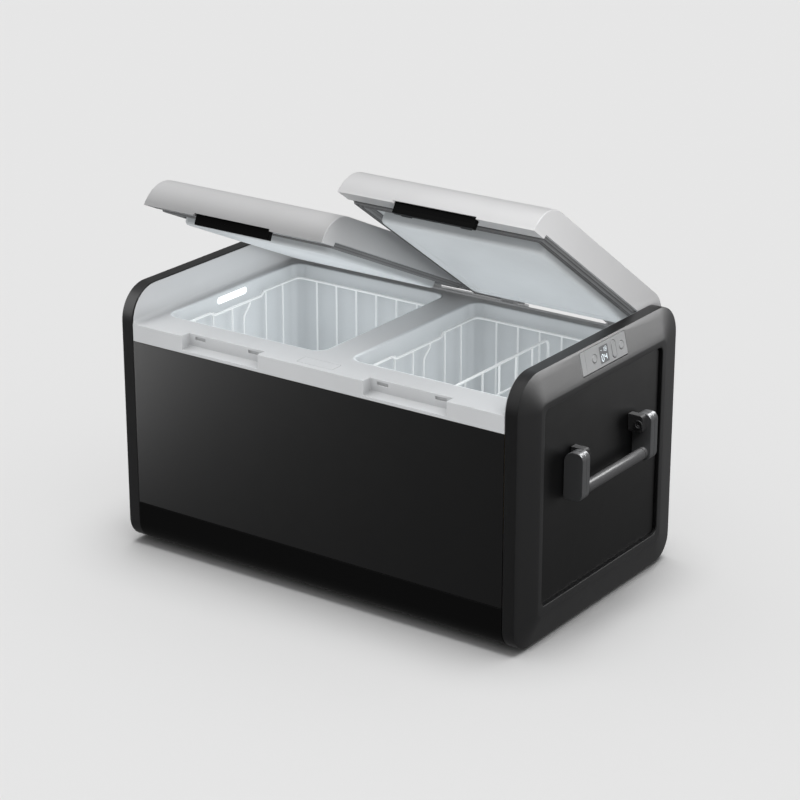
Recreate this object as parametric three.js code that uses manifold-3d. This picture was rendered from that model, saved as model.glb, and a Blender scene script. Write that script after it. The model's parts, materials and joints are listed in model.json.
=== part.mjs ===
// Dual-zone compressor cooler: two rear-hinged lids, swing handles, wire baskets, compressor bay.
// Millimetres. X runs right, Y back and Z up. The origin is on the floor under the cabinet's centre.
import * as THREE from 'three';
import { mergeVertices } from 'three/addons/utils/BufferGeometryUtils.js';
import Module from 'manifold-3d';

const wasm = await Module();
wasm.setup();

// ---- Driving dimensions ----
const BODY_W = 829; // over the end caps
const BODY_D = 495;
const BODY_H = 472;
const FOOT_H = 4; // the cabinet stands this far off the floor
const GAP = 0.3; // clearance between neighbouring pieces
const CORNER_TOP = 60; // corner radii of the cabinet, seen end-on
const CORNER_BOTTOM = 42;
const CAP_DEPTH = 35.2; // how far an end cap reaches in along X
const BASE_Z = 82; // seam between the base tray and the panels
const FRAME_Z = 381; // lower edge of the pale top frame
const RIM_Z = 412; // plane that the lids close on
const SKIN = 3; // wall of a moulded piece
const SHEET = 1.2; // wall of a painted steel panel
const HANDLE_REACH = 31.5; // how far a handle stands out from an end cap

// Where the pieces sit, worked out from the cabinet
const HALF_W = BODY_W / 2;
const HALF_D = BODY_D / 2;
const CAP_IN = HALF_W - CAP_DEPTH;
const MID = CAP_IN - 0.5; // half length of everything between the caps
const ARC_Z = BODY_H - CORNER_TOP; // height of the top corners' centres
const ARC_Y = HALF_D - CORNER_TOP;

// Compartments: inner faces of the liners
const WELL_X = [31, 361];
const WELL_Y = [-176, 191];
const WELL_FLOOR = 60;
const WELL_R = 22;
const LINER_T = 1.8;
const STEP_X = 206; // the right compartment is shallow beyond this, over the compressor
const STEP_Z = 270;
const BAY_X = 238; // compressor bay
const BAY_Z = 240;

// Lids
const LID_X = 189; // centre of each lid, its latch and its hinge
const LID_HALF = 187.7;
const LID_R = CORNER_TOP - 0.5;
const LID_EDGE_Z = 425; // lower edge of a lid's side
const SKIRT_Z = 417.5; // lower edge of the front and rear skirts
const SKIRT_Y = 211; // the skirts reach in to here
const CAVITY_Y = 208.3; // the lid's hollow ends here, under the skirts' floors
const HINGE_Y = 226;
const HINGE_Z = 430;
const LEFT_OPEN = THREE.MathUtils.degToRad(24.5);
const RIGHT_OPEN = THREE.MathUtils.degToRad(35);
const LATCH_HALF = 78;
const LATCH_Y = -236.5; // pivot of a latch, in the closed lid
const LATCH_Z = 419.5;
const HOOK_X = 57;
const LUG_X = [96, 120]; // hinge lugs, from the lid's centre
const CHANNEL_Y = 209.5; // rear channel that the lid's heel swings in
const CHANNEL_Z = 405.5;

// End caps
const RIM_BAND = 23.5; // square band before the wide bevel
const BEVEL = 51.2;
const BEVEL_LOW = 47.4;
const CAP_WALL = 4;
const FACE_R = 15; // corners of the flat face inside the bevel
const WINDOW_Y = 184.8;
const WINDOW_Z = [68.4, 409.3];
const RECESS_X = HALF_W - 10;
const PANEL_X = HALF_W - 6; // face of the end panel in the recess
const PANEL_GAP = 6; // shadow gap round the end panel

// ---- Geometry helpers ----
const WELD = 1e-4; // points nearer than this become one

// Points of a rectangle with rounded corners. radii: bottom right, top right, top left, bottom left.
function outline(low, high, radii, steps = 5) {
  const [br, tr, tl, bl] = Array.isArray(radii) ? radii : [radii, radii, radii, radii];
  const corners = [
    [high[0] - br, low[1] + br, br, -90],
    [high[0] - tr, high[1] - tr, tr, 0],
    [low[0] + tl, high[1] - tl, tl, 90],
    [low[0] + bl, low[1] + bl, bl, 180],
  ];
  return corners.flatMap(([u, v, r, start]) =>
    r === 0 ? [new THREE.Vector2(u, v)] : arc(u, v, r, start, start + 90, steps));
}

// Points along an arc, angles in degrees.
function arc(u, v, radius, from, to, steps) {
  return Array.from({ length: steps + 1 }, (_, k) => {
    const angle = THREE.MathUtils.degToRad(from + ((to - from) * k) / steps);
    return new THREE.Vector2(u + radius * Math.cos(angle), v + radius * Math.sin(angle));
  });
}

const disc = (u, v, radius, sides = 20) => arc(u, v, radius, 0, 360 - 360 / sides, sides - 1);
const points = (...pairs) => pairs.map(([u, v]) => new THREE.Vector2(u, v));

// An outline pushed along an axis. It is given as (y, z) for x, (x, z) for y and (x, y) for z.
function prismGeometry(axis, flat, from, to) {
  const options = { depth: to - from, bevelEnabled: false };
  const geometry = new THREE.ExtrudeGeometry(new THREE.Shape(flat), options);
  const turn = new THREE.Matrix4();
  const [x, y, z] = [new THREE.Vector3(1, 0, 0), new THREE.Vector3(0, 1, 0), new THREE.Vector3(0, 0, 1)];
  if (axis === 'x') turn.makeBasis(y, z, x).setPosition(from, 0, 0);
  if (axis === 'y') turn.makeBasis(x, z, y.clone().negate()).setPosition(0, to, 0);
  if (axis === 'z') turn.setPosition(0, 0, from);
  return geometry.applyMatrix4(turn);
}

function solidOf(geometry) {
  const bare = geometry.clone();
  bare.deleteAttribute('normal');
  bare.deleteAttribute('uv');
  const welded = mergeVertices(bare, WELD);
  return new wasm.Manifold(new wasm.Mesh({
    numProp: 3,
    vertProperties: new Float32Array(welded.attributes.position.array),
    triVerts: new Uint32Array(welded.index.array),
  }));
}

function geometryOf(solid) {
  const mesh = solid.getMesh();
  const geometry = new THREE.BufferGeometry();
  geometry.setAttribute('position', new THREE.BufferAttribute(new Float32Array(mesh.vertProperties), 3));
  geometry.setIndex(new THREE.BufferAttribute(new Uint32Array(mesh.triVerts), 1));
  geometry.computeVertexNormals();
  return geometry;
}

const prism = (axis, flat, from, to) => solidOf(prismGeometry(axis, flat, from, to));
const join = (...solids) => solids.reduce((whole, solid) => whole.add(solid));
const cut = (body, ...tools) => tools.reduce((whole, tool) => whole.subtract(tool), body);

function block(low, high) {
  const size = high.map((value, k) => value - low[k]);
  const middle = high.map((value, k) => (value + low[k]) / 2);
  return solidOf(new THREE.BoxGeometry(...size).translate(...middle));
}

// A closed skin through rings of equal length that lie in planes of constant x.
function loftAlongX(rings) {
  const count = rings[0].flat.length;
  const place = rings.flatMap(({ x, flat }) => flat.flatMap((p) => [x, p.x, p.y]));
  const faces = [];
  for (let k = 0; k < rings.length - 1; k += 1) {
    for (let i = 0; i < count; i += 1) {
      const a = k * count + i;
      const b = k * count + ((i + 1) % count);
      faces.push(a, b, b + count, a, b + count, a + count);
    }
  }
  const last = (rings.length - 1) * count;
  for (const [a, b, c] of THREE.ShapeUtils.triangulateShape(rings[0].flat, [])) faces.push(a, c, b);
  for (const [a, b, c] of THREE.ShapeUtils.triangulateShape(rings.at(-1).flat, [])) {
    faces.push(last + a, last + b, last + c);
  }
  const geometry = new THREE.BufferGeometry();
  geometry.setAttribute('position', new THREE.Float32BufferAttribute(place, 3));
  geometry.setIndex(faces);
  return geometry;
}

// The same piece for the other end of the cabinet.
function mirrored(geometry) {
  const copy = geometry.clone().scale(-1, 1, 1);
  const index = copy.index.array;
  for (let i = 0; i < index.length; i += 3) {
    const swap = index[i];
    index[i] = index[i + 1];
    index[i + 1] = swap;
  }
  copy.computeVertexNormals();
  return copy;
}

// A round bar along a path.
function tube(path, radius, steps, sides = 6) {
  const curve = new THREE.CatmullRomCurve3(path.map((p) => new THREE.Vector3(...p)));
  const section = new THREE.Shape(disc(0, 0, radius, sides));
  return new THREE.ExtrudeGeometry(section, { steps, extrudePath: curve, bevelEnabled: false });
}

// ---- Materials ----
const finish = (color, roughness, metalness = 0) =>
  new THREE.MeshStandardMaterial({ color, roughness, metalness });
const blackPlastic = () => finish(0x1c1c1d, 0.55);
const blackPaint = () => finish(0x161617, 0.45, 0.3);
const palePlastic = () => finish(0xc4c6c7, 0.5);
const linerPlastic = () => finish(0xd2d8da, 0.45);
const foam = () => finish(0xe6d9a8, 0.95);
const darkRubber = () => finish(0x4a4b4c, 0.85);
const anodised = () => finish(0x8b8d90, 0.35, 0.9);
const steel = () => finish(0x9a9c9e, 0.4, 0.9);
const copper = () => finish(0xb87145, 0.35, 0.9);
const whiteWire = () => finish(0xeceeee, 0.4);

const cooler = new THREE.Group();

function add(name, shape, material, parent = cooler) {
  const geometry = shape.isBufferGeometry ? shape : geometryOf(shape);
  const mesh = new THREE.Mesh(geometry, material);
  mesh.name = name;
  parent.add(mesh);
  return mesh;
}

// Adds a piece drawn for the right-hand end, and its mirror image at the left.
function addPair(name, solid, material, rightParent = cooler, leftParent = cooler) {
  const geometry = geometryOf(solid);
  add(`right_${name}`, geometry, material(), rightParent);
  add(`left_${name}`, mirrored(geometry), material(), leftParent);
}

// ---- Cabinet casing ----
function frontPanel() {
  return block([-MID, -HALF_D, BASE_Z + GAP], [MID, -HALF_D + SHEET, FRAME_Z - GAP]);
}

const DRAIN_X = [-196, 118];
const DRAIN_Z = 112;
const DRAIN_R = 12;
const INLET_X = [262, 322];
const INLET_Z = [96, 126];
const VENT_X = [252, 372];
const VENT_PITCH = 12;
const VENT_ROWS = 8;

function rearPanel() {
  const sheet = block([-MID, HALF_D - SHEET, BASE_Z + GAP], [MID, HALF_D, FRAME_Z - GAP]);
  const drains = DRAIN_X.map((x) =>
    prism('y', disc(x, DRAIN_Z, DRAIN_R + GAP), HALF_D - 2 * SHEET, HALF_D + 1));
  const inlet = block([INLET_X[0] - GAP, HALF_D - 2 * SHEET, INLET_Z[0] - GAP],
    [INLET_X[1] + GAP, HALF_D + 1, INLET_Z[1] + GAP]);
  const vents = Array.from({ length: VENT_ROWS }, (_, k) => {
    const z = INLET_Z[1] + VENT_PITCH * (k + 1);
    return block([VENT_X[0], HALF_D - 2 * SHEET, z], [VENT_X[1], HALF_D + 1, z + VENT_PITCH / 2]);
  });
  return cut(sheet, inlet, ...drains, ...vents);
}

function baseTray() {
  const round = [CORNER_BOTTOM, 0, 0, CORNER_BOTTOM];
  const hollowRound = [CORNER_BOTTOM - SKIN, 0, 0, CORNER_BOTTOM - SKIN];
  const outside = outline([-HALF_D, FOOT_H], [HALF_D, BASE_Z - GAP], round, 7);
  const inside = outline([-HALF_D + SKIN, FOOT_H + SKIN], [HALF_D - SKIN, BASE_Z + 9], hollowRound, 7);
  const outer = prism('x', outside, -MID, MID);
  const inner = prism('x', inside, -MID - 1, MID + 1);
  return cut(outer, inner);
}

function endCap(extraCuts = []) {
  const steps = 8;
  const square = outline([-HALF_D, FOOT_H], [HALF_D, BODY_H],
    [CORNER_BOTTOM, CORNER_TOP, CORNER_TOP, CORNER_BOTTOM], steps);
  const bevelled = outline([-HALF_D + BEVEL, FOOT_H + BEVEL_LOW], [HALF_D - BEVEL, BODY_H - BEVEL],
    FACE_R, steps);
  const shell = solidOf(loftAlongX([
    { x: CAP_IN, flat: square },
    { x: CAP_IN + RIM_BAND, flat: square },
    { x: HALF_W, flat: bevelled },
  ]));
  const [innerLow, innerTop] = [CORNER_BOTTOM - CAP_WALL, CORNER_TOP - CAP_WALL];
  const inside = outline([-HALF_D + CAP_WALL, FOOT_H + CAP_WALL], [HALF_D - CAP_WALL, BODY_H - CAP_WALL],
    [innerLow, innerTop, innerTop, innerLow], steps);
  const hollow = prism('x', inside, CAP_IN - 1, CAP_IN + RIM_BAND - CAP_WALL);
  const window = outline([-WINDOW_Y, WINDOW_Z[0]], [WINDOW_Y, WINDOW_Z[1]], 3, 2);
  const recess = prism('x', window, RECESS_X, HALF_W + 1);
  return cut(shell, hollow, recess, ...extraCuts);
}

// Air slots in the recess floor, hidden in the shadow gap at the front and back of the end panel.
function capVents() {
  const slots = [];
  const count = 4;
  const pitch = (WINDOW_Z[1] - WINDOW_Z[0]) / count;
  for (const side of [-1, 1]) {
    const middle = side * (WINDOW_Y - PANEL_GAP / 2);
    for (let k = 0; k < count; k += 1) {
      const z = WINDOW_Z[0] + pitch * k + pitch / 6;
      slots.push(block([CAP_IN, middle - 2, z], [HALF_W, middle + 2, z + (pitch * 2) / 3]));
    }
  }
  return slots;
}

function endPanel() {
  return prism('x', outline([-WINDOW_Y + PANEL_GAP, WINDOW_Z[0] + PANEL_GAP],
    [WINDOW_Y - PANEL_GAP, WINDOW_Z[1] - PANEL_GAP], 3, 2), RECESS_X + GAP, PANEL_X);
}

function footStrip() {
  return prism('z', outline([300, -185], [340, 185], 12, 4), 0, FOOT_H - GAP);
}

// ---- Top frame ----
const POCKET_HALF = 81;
const POCKET_Y = 228;
const POCKET_FLOOR_Z = [386.5, 390]; // at the outer face and at the back of a latch pocket
const HOOK_HALF = 10;
const SLOT_Z = [402, 407.6]; // slots that the latch hooks reach into
const TAB_X = 36; // flush tab in the middle of the front rim
const TAB_Y = [-235, -210];
const TAB_T = 2;
const LUG_R = 7;
const LEDGE_X = 369.5; // the flat rim ends here and sweeps up along the cap
const END_WALL_T = 1.2;
const wellOutline = (grow, steps = 5) =>
  outline([WELL_X[0] - grow, WELL_Y[0] - grow], [WELL_X[1] + grow, WELL_Y[1] + grow], WELL_R + grow, steps);
const flipX = (flat) => flat.map((p) => new THREE.Vector2(-p.x, p.y)).reverse();

// The concave end wall that rises from the rim along the inside of a cap.
function endWall() {
  const face = MID - END_WALL_T;
  const radius = face - LEDGE_X;
  const top = BODY_H - END_WALL_T;
  const profile = [
    ...points([LEDGE_X, RIM_Z - 1], [MID, RIM_Z - 1], [MID, top], [face, top]),
    ...arc(LEDGE_X, RIM_Z + radius, radius, 0, -90, 5),
  ];
  const inset = CORNER_TOP - END_WALL_T;
  const end = prism('x', outline([-HALF_D + END_WALL_T, FRAME_Z], [HALF_D - END_WALL_T, top],
    [0, inset, inset, 0], 8), -MID - 1, MID + 1);
  const strip = (flat) => prism('y', flat, -HALF_D, HALF_D).intersect(end);
  return join(strip(profile), strip(flipX(profile)));
}

// A latch pocket, open to the outside and the top, with a floor that falls outwards.
function pocket(x, side, grow = 0) {
  const profile = points([HALF_D + 2, POCKET_FLOOR_Z[0] - grow], [HALF_D + 2, RIM_Z + 2 - grow],
    [POCKET_Y - grow, RIM_Z + 2 - grow], [POCKET_Y - grow, POCKET_FLOOR_Z[1] - grow]);
  const flat = side > 0 ? profile : flipX(profile);
  return prism('x', flat, x - POCKET_HALF - grow, x + POCKET_HALF + grow);
}

const tabOutline = (grow) => outline([-TAB_X - grow, TAB_Y[0] - grow], [TAB_X + grow, TAB_Y[1] + grow], 2, 2);

function hinges(x) {
  const profile = [
    ...points([HINGE_Y - LUG_R - 2, CHANNEL_Z - SKIN / 2], [HINGE_Y + LUG_R + 2, CHANNEL_Z - SKIN / 2]),
    ...arc(HINGE_Y, HINGE_Z, LUG_R, 0, 180, 8),
  ];
  return [-1, 1].map((side) => {
    const ends = LUG_X.map((offset) => x + side * offset).sort((a, b) => a - b);
    return prism('x', profile, ...ends);
  });
}

function topFrame() {
  const openings = [wellOutline(LINER_T + GAP), flipX(wellOutline(LINER_T + GAP))]
    .map((flat) => prism('z', flat, FRAME_Z - 1, RIM_Z + 1));
  const collars = [wellOutline(LINER_T + SKIN), flipX(wellOutline(LINER_T + SKIN))]
    .map((flat) => prism('z', flat, FRAME_Z - 2, RIM_Z));
  const lidCentres = [-LID_X, LID_X];
  const pockets = lidCentres.flatMap((x) => [pocket(x, -1), pocket(x, 1)]);
  const housings = lidCentres.flatMap((x) => [pocket(x, -1, SKIN), pocket(x, 1, SKIN)]);
  const wallFace = MID - END_WALL_T;
  const channel = block([-wallFace, CHANNEL_Y, CHANNEL_Z], [wallFace, HALF_D + 1, BODY_H]);
  const ceiling = RIM_Z - SKIN;
  const underside = join(
    block([-MID + SKIN, -HALF_D + SKIN, FRAME_Z - 1], [MID - SKIN, CHANNEL_Y - SKIN, ceiling]),
    block([-MID + SKIN, CHANNEL_Y - SKIN - 1, FRAME_Z - 1], [MID - SKIN, HALF_D - SKIN, CHANNEL_Z - SKIN]),
  );
  const hollow = cut(underside, ...collars, ...housings);
  const slots = lidCentres.flatMap((x) => [-HOOK_X, HOOK_X].map((offset) =>
    block([x + offset - HOOK_HALF - 1, -POCKET_Y - 1, SLOT_Z[0]],
      [x + offset + HOOK_HALF + 1, -POCKET_Y + SKIN + 1, SLOT_Z[1]])));
  const tabRecess = prism('z', tabOutline(0.5), RIM_Z - TAB_T, RIM_Z + 1);
  const slab = block([-MID, -HALF_D, FRAME_Z], [MID, HALF_D, RIM_Z]);
  const bores = lidCentres.map((x) =>
    prism('x', disc(HINGE_Y, HINGE_Z, PIN_R + GAP), x - LID_HALF, x + LID_HALF));
  const body = cut(join(slab, endWall()), ...openings, channel, hollow, ...pockets, ...slots, tabRecess);
  const lampHoles = [[WELL_X[1] - 1, MID - SKIN], [-MID + SKIN, -WELL_X[1] + 1]]
    .map((ends) => prism('x', lampOutline(GAP), ...ends));
  return cut(join(body, ...lidCentres.flatMap(hinges)), ...bores, ...lampHoles);
}

function centreTab() {
  return prism('z', tabOutline(0), RIM_Z - TAB_T + GAP, RIM_Z);
}

// ---- Compartments ----
const LAMP_Y = [-42, 43];
const LAMP_Z = [392, 406];
const lampOutline = (grow) => outline([LAMP_Y[0] - grow, LAMP_Z[0] - grow],
  [LAMP_Y[1] + grow, LAMP_Z[1] + grow], (LAMP_Z[1] - LAMP_Z[0]) / 2 + grow, 4);

const deepOutline = (grow) => outline([WELL_X[0] - grow, WELL_Y[0] - grow],
  [STEP_X + grow, WELL_Y[1] + grow], WELL_R + grow, 5);

function leftLinerVolume(grow, top) {
  return prism('z', flipX(wellOutline(grow)), WELL_FLOOR - grow, top);
}

function rightLinerVolume(grow, top) {
  return join(prism('z', deepOutline(grow), WELL_FLOOR - grow, top),
    prism('z', wellOutline(grow), STEP_Z - grow, top));
}

function liner(volume, side) {
  const top = RIM_Z - GAP;
  const ends = [side * (WELL_X[1] - 1), side * (WELL_X[1] + 5)].sort((a, b) => a - b);
  const lamp = prism('x', lampOutline(GAP), ...ends);
  return cut(volume(LINER_T, top), volume(0, top + 5), lamp);
}

function lamp() {
  return prism('x', lampOutline(0), WELL_X[1] + 0.2, WELL_X[1] + 5);
}

// A roll-bond plate wrapped round the lower part of a liner.
function evaporator(flatAt) {
  const inner = LINER_T + GAP;
  return cut(prism('z', flatAt(inner + 1.5), 84, 230), prism('z', flatAt(inner), 80, 240));
}

function foamBody() {
  const margin = SKIN + GAP;
  const round = CORNER_BOTTOM - margin;
  const filling = prism('x', outline([-HALF_D + margin, FOOT_H + margin], [HALF_D - margin, FRAME_Z - GAP],
    [round, 0, 0, round], 7), -MID + GAP, MID - GAP);
  const around = LINER_T + 2.4;
  const bay = block([BAY_X, -HALF_D, 0], [MID + 9, HALF_D, BAY_Z]);
  const drains = DRAIN_X.map((x) => prism('y', disc(x, DRAIN_Z, DRAIN_R - 2), HALF_D - 27, HALF_D));
  return cut(filling, leftLinerVolume(around, BODY_H), rightLinerVolume(around, BODY_H), bay, ...drains);
}

function drainPlug(x) {
  return join(prism('y', disc(x, DRAIN_Z, DRAIN_R), HALF_D - 2.8, HALF_D),
    prism('y', disc(x, DRAIN_Z, DRAIN_R - 3), HALF_D - 25, HALF_D - 1));
}

// ---- Lids, drawn closed with x from the lid's own centre ----
const PIN_R = 2.5;
const zOnArc = (radius, z) => THREE.MathUtils.radToDeg(Math.asin((z - ARC_Z) / radius));

function lidProfile() {
  const low = zOnArc(LID_R, SKIRT_Z);
  return [
    ...arc(ARC_Y, ARC_Z, LID_R, low, 90, 9),
    ...arc(-ARC_Y, ARC_Z, LID_R, 90, 180 - low, 9),
    ...points([-SKIRT_Y, SKIRT_Z], [-SKIRT_Y + 2, LID_EDGE_Z], [SKIRT_Y - 2, LID_EDGE_Z], [SKIRT_Y, SKIRT_Z]),
  ];
}

// The hollow of a lid, from z = floor up; inset makes it smaller all round.
function cavityProfile(floor, inset) {
  const radius = LID_R - SKIN - inset;
  const heel = HINGE_Z + 19 + inset; // the rear wall stays solid up to here, for the hinge
  const toe = HINGE_Z + inset; // top of the front skirt's floor
  const edge = CAVITY_Y - inset;
  return [
    ...points([edge, floor], [edge, heel]),
    ...arc(ARC_Y, ARC_Z, radius, zOnArc(radius, heel), 90, 6),
    ...arc(-ARC_Y, ARC_Z, radius, 90, 180 - zOnArc(radius, toe), 8),
    ...points([-edge, toe], [-edge, floor]),
  ];
}

function lidShell() {
  const body = prism('x', lidProfile(), -LID_HALF, LID_HALF);
  const cavity = prism('x', cavityProfile(LID_EDGE_Z - 5, 0), -LID_HALF + SKIN, LID_HALF - SKIN);
  const latchPocket = block(
    [-LATCH_HALF - 1, LATCH_Y - 6.5, 400],
    [LATCH_HALF + 1, LATCH_Y + 7, LATCH_Z + 8.5],
  );
  const frontLip = block([-LATCH_HALF - 2, -HALF_D - 1, 400], [LATCH_HALF + 2, LATCH_Y, LATCH_Z + 2]);
  const rearLip = block([-POCKET_HALF - 2, SKIRT_Y - 5, 400], [POCKET_HALF + 2, HALF_D + 1, LID_EDGE_Z]);
  const notches = [-1, 1].map((side) => {
    const ends = [side * (LUG_X[0] - 1), side * (LUG_X[1] + 1)].sort((a, b) => a - b);
    return block([ends[0], HINGE_Y - 14, 400], [ends[1], HALF_D + 1, HINGE_Z + 16]);
  });
  const bore = prism('x', disc(HINGE_Y, HINGE_Z, PIN_R + GAP), -LUG_X[1] - 5, LUG_X[1] + 5);
  return cut(body, cavity, latchPocket, frontLip, rearLip, ...notches, bore);
}

const FLANGE_Z = [LID_EDGE_Z - 0.7, LID_EDGE_Z + 2];
const PLUG_Z = 404;
const PLUG_X = [WELL_X[0] + 8 - LID_X, WELL_X[1] - 8 - LID_X];
const PLUG_Y = [WELL_Y[0] + 8, WELL_Y[1] - 8];
const plugOutline = (inset) => outline([PLUG_X[0] + inset, PLUG_Y[0] + inset],
  [PLUG_X[1] - inset, PLUG_Y[1] - inset], WELL_R - 4 - inset, 5);
const flangeOutline = (inset) => outline([-LID_HALF + SKIN + GAP + inset, -CAVITY_Y + GAP + inset],
  [LID_HALF - SKIN - GAP - inset, CAVITY_Y - GAP - inset], 4, 2);

function lidLiner() {
  const wall = 2.5;
  const flange = prism('z', flangeOutline(0), ...FLANGE_Z);
  const panel = join(flange, prism('z', plugOutline(0), PLUG_Z, FLANGE_Z[1]));
  return cut(panel, prism('z', plugOutline(wall), PLUG_Z + wall, LID_EDGE_Z + 9));
}

function lidGasket() {
  const width = 12.6;
  const lip = 5;
  const inner = flangeOutline(width);
  const band = prism('z', flangeOutline(0), LID_EDGE_Z - 6.5, FLANGE_Z[0] - GAP);
  const bulb = prism('z', flangeOutline(width - lip), RIM_Z + 0.5, LID_EDGE_Z - 6);
  return cut(join(band, bulb), prism('z', inner, RIM_Z - 1, LID_EDGE_Z + 1));
}

function lidFoam() {
  const wall = 2.5 + GAP;
  const reach = LID_HALF - SKIN - GAP;
  const upper = prism('x', cavityProfile(FLANGE_Z[1] + GAP, GAP), -reach, reach);
  return join(upper, prism('z', plugOutline(wall), PLUG_Z + wall, FLANGE_Z[1] + 1));
}

function hingePin() {
  return prism('x', disc(HINGE_Y, HINGE_Z, PIN_R), -LUG_X[1] - 4, LUG_X[1] + 4);
}

function latchHandle() {
  const half = 5;
  const low = SLOT_Z[0] + 1;
  const strip = outline([LATCH_Y - half, low], [LATCH_Y + half, LATCH_Z + half], [1, half, half, 1], 4);
  const hooks = [-HOOK_X, HOOK_X].map((x) =>
    block([x - HOOK_HALF, LATCH_Y, low + GAP], [x + HOOK_HALF, -POCKET_Y + 2.5, SLOT_Z[1] - 1.2]));
  return join(prism('x', strip, -LATCH_HALF, LATCH_HALF), ...hooks);
}

// ---- Handles, drawn at the right-hand end ----
const PIVOT_X = HALF_W + HANDLE_REACH - 16;
const PIVOT_Z = 304;
const ARM_Y = [97, 119];
const GRIP_DROP = 54;
const GRIP_R = 10;
const PIVOT_R = 4;

function handleArm(side) {
  const profile = outline([PIVOT_X - 20.5, PIVOT_Z - 68], [PIVOT_X + 16, PIVOT_Z + 15], [14, 12, 19, 6], 5);
  const [low, high] = side > 0 ? ARM_Y : [-ARM_Y[1], -ARM_Y[0]];
  const bore = side > 0 ? [low - 1, low + 12] : [high - 12, high + 1];
  return cut(prism('y', profile, low, high), prism('y', disc(PIVOT_X, PIVOT_Z, PIVOT_R + GAP), ...bore));
}

function handleMount(side) {
  const inner = ARM_Y[0] - 14;
  const outer = ARM_Y[0] - GAP;
  const [low, high] = side > 0 ? [inner, outer] : [-outer, -inner];
  const profile = outline([PANEL_X + GAP, PIVOT_Z - 15], [PIVOT_X + 7, PIVOT_Z + 15], [6, 6, 1, 1], 3);
  const body = prism('y', profile, low, high);
  const reach = side > 0 ? [outer - 2, outer + 11] : [-outer - 11, -outer + 2];
  return join(body, prism('y', disc(PIVOT_X, PIVOT_Z, PIVOT_R), ...reach));
}

function handleGrip() {
  const end = ARM_Y[0] - GAP;
  return prism('y', disc(PIVOT_X + 2, PIVOT_Z - GRIP_DROP, GRIP_R, 24), -end, end);
}

// ---- Control panel, set into the right cap's upper bevel ----
const bevelRun = CAP_DEPTH - RIM_BAND;
const panelNormal = new THREE.Vector3(BEVEL, 0, bevelRun).normalize();
const PANEL_MID_Z = 448;
const panelAlong = new THREE.Vector3(0, 1, 0);
const panelUp = new THREE.Vector3().crossVectors(panelNormal, panelAlong);
const PANEL_FRAME = new THREE.Matrix4()
  .makeBasis(panelAlong, panelUp, panelNormal)
  .setPosition(CAP_IN + RIM_BAND + (bevelRun * (BODY_H - PANEL_MID_Z)) / BEVEL, 0, PANEL_MID_Z);
const BEZEL = { half: 70, tall: 20, deep: 5, proud: 0.6 };
const BUTTON_X = [-30, 54];
const BUTTON_R = 6.2;
const DISPLAY = { x: [-14, 13], half: 14.3 };
const ROCKER = { x: 30, half: 13.8, wide: 5.8 };
const KEY_BACK = -4.4; // the keys' inner ends

const rectOn = (low, high, grow, radius, steps) =>
  outline([low[0] - grow, low[1] - grow], [high[0] + grow, high[1] + grow], radius, steps);
const displayOutline = (grow) =>
  rectOn([DISPLAY.x[0], -DISPLAY.half], [DISPLAY.x[1], DISPLAY.half], grow, 2, 2);
const rockerOutline = (grow) => {
  const [left, right] = [ROCKER.x - ROCKER.wide, ROCKER.x + ROCKER.wide];
  return rectOn([left, -ROCKER.half], [right, ROCKER.half], grow, ROCKER.wide + grow, 5);
};

function panelPocket() {
  const flat = rectOn([-BEZEL.half, -BEZEL.tall], [BEZEL.half, BEZEL.tall], 0.6, 6.6, 3);
  return solidOf(prismGeometry('z', flat, -BEZEL.deep - 1, 9).applyMatrix4(PANEL_FRAME));
}

function controlBezel() {
  const play = 0.4;
  const face = rectOn([-BEZEL.half, -BEZEL.tall], [BEZEL.half, BEZEL.tall], 0, 6, 3);
  const plate = prism('z', face, -BEZEL.deep, BEZEL.proud);
  const buttonHoles = BUTTON_X.map((x) => disc(x, 0, BUTTON_R + play));
  const holes = [displayOutline(GAP), rockerOutline(play), ...buttonHoles];
  const score = block(
    [-BEZEL.half + 13, -BEZEL.tall - 1, BEZEL.proud - 0.4],
    [-BEZEL.half + 14, BEZEL.tall + 1, 2],
  );
  return cut(plate, score, ...holes.map((flat) => prism('z', flat, -BEZEL.deep - 1, 3)));
}

const roundKey = (x) => prism('z', disc(x, 0, BUTTON_R), KEY_BACK, BEZEL.proud + 0.9);
const rockerKey = () => prism('z', rockerOutline(0), KEY_BACK, BEZEL.proud + 0.9);
const displayWindow = () => prism('z', displayOutline(0), KEY_BACK, BEZEL.proud - 0.2);

// ---- Baskets ----
const WIRE = 3;
const BASKET_X = [40, 352];
const BASKET_Y = [-167, 182];
const BASKET_Z = [64, 391];
const BASKET_STEP_X = 198;
const BASKET_STEP_Z = STEP_Z + 5;
const BASKET_R = 15;

// Evenly spaced windows between bars, from one end of a wall to the other.
function windows(from, to, count) {
  const pitch = (to - from + WIRE) / count;
  return Array.from({ length: count }, (_, k) => [from + pitch * k, from + pitch * (k + 1) - WIRE]);
}

const POST = BASKET_R + 1; // left solid at each corner

function basketVolume(inset, top, stepped) {
  const low = [BASKET_X[0] + inset, BASKET_Y[0] + inset];
  const radius = BASKET_R - inset;
  const tray = (right, z) =>
    prism('z', outline(low, [right - inset, BASKET_Y[1] - inset], radius, 4), z + inset, top);
  if (!stepped) return tray(BASKET_X[1], BASKET_Z[0]);
  return join(tray(BASKET_STEP_X, BASKET_Z[0]), tray(BASKET_X[1], BASKET_STEP_Z));
}

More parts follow.
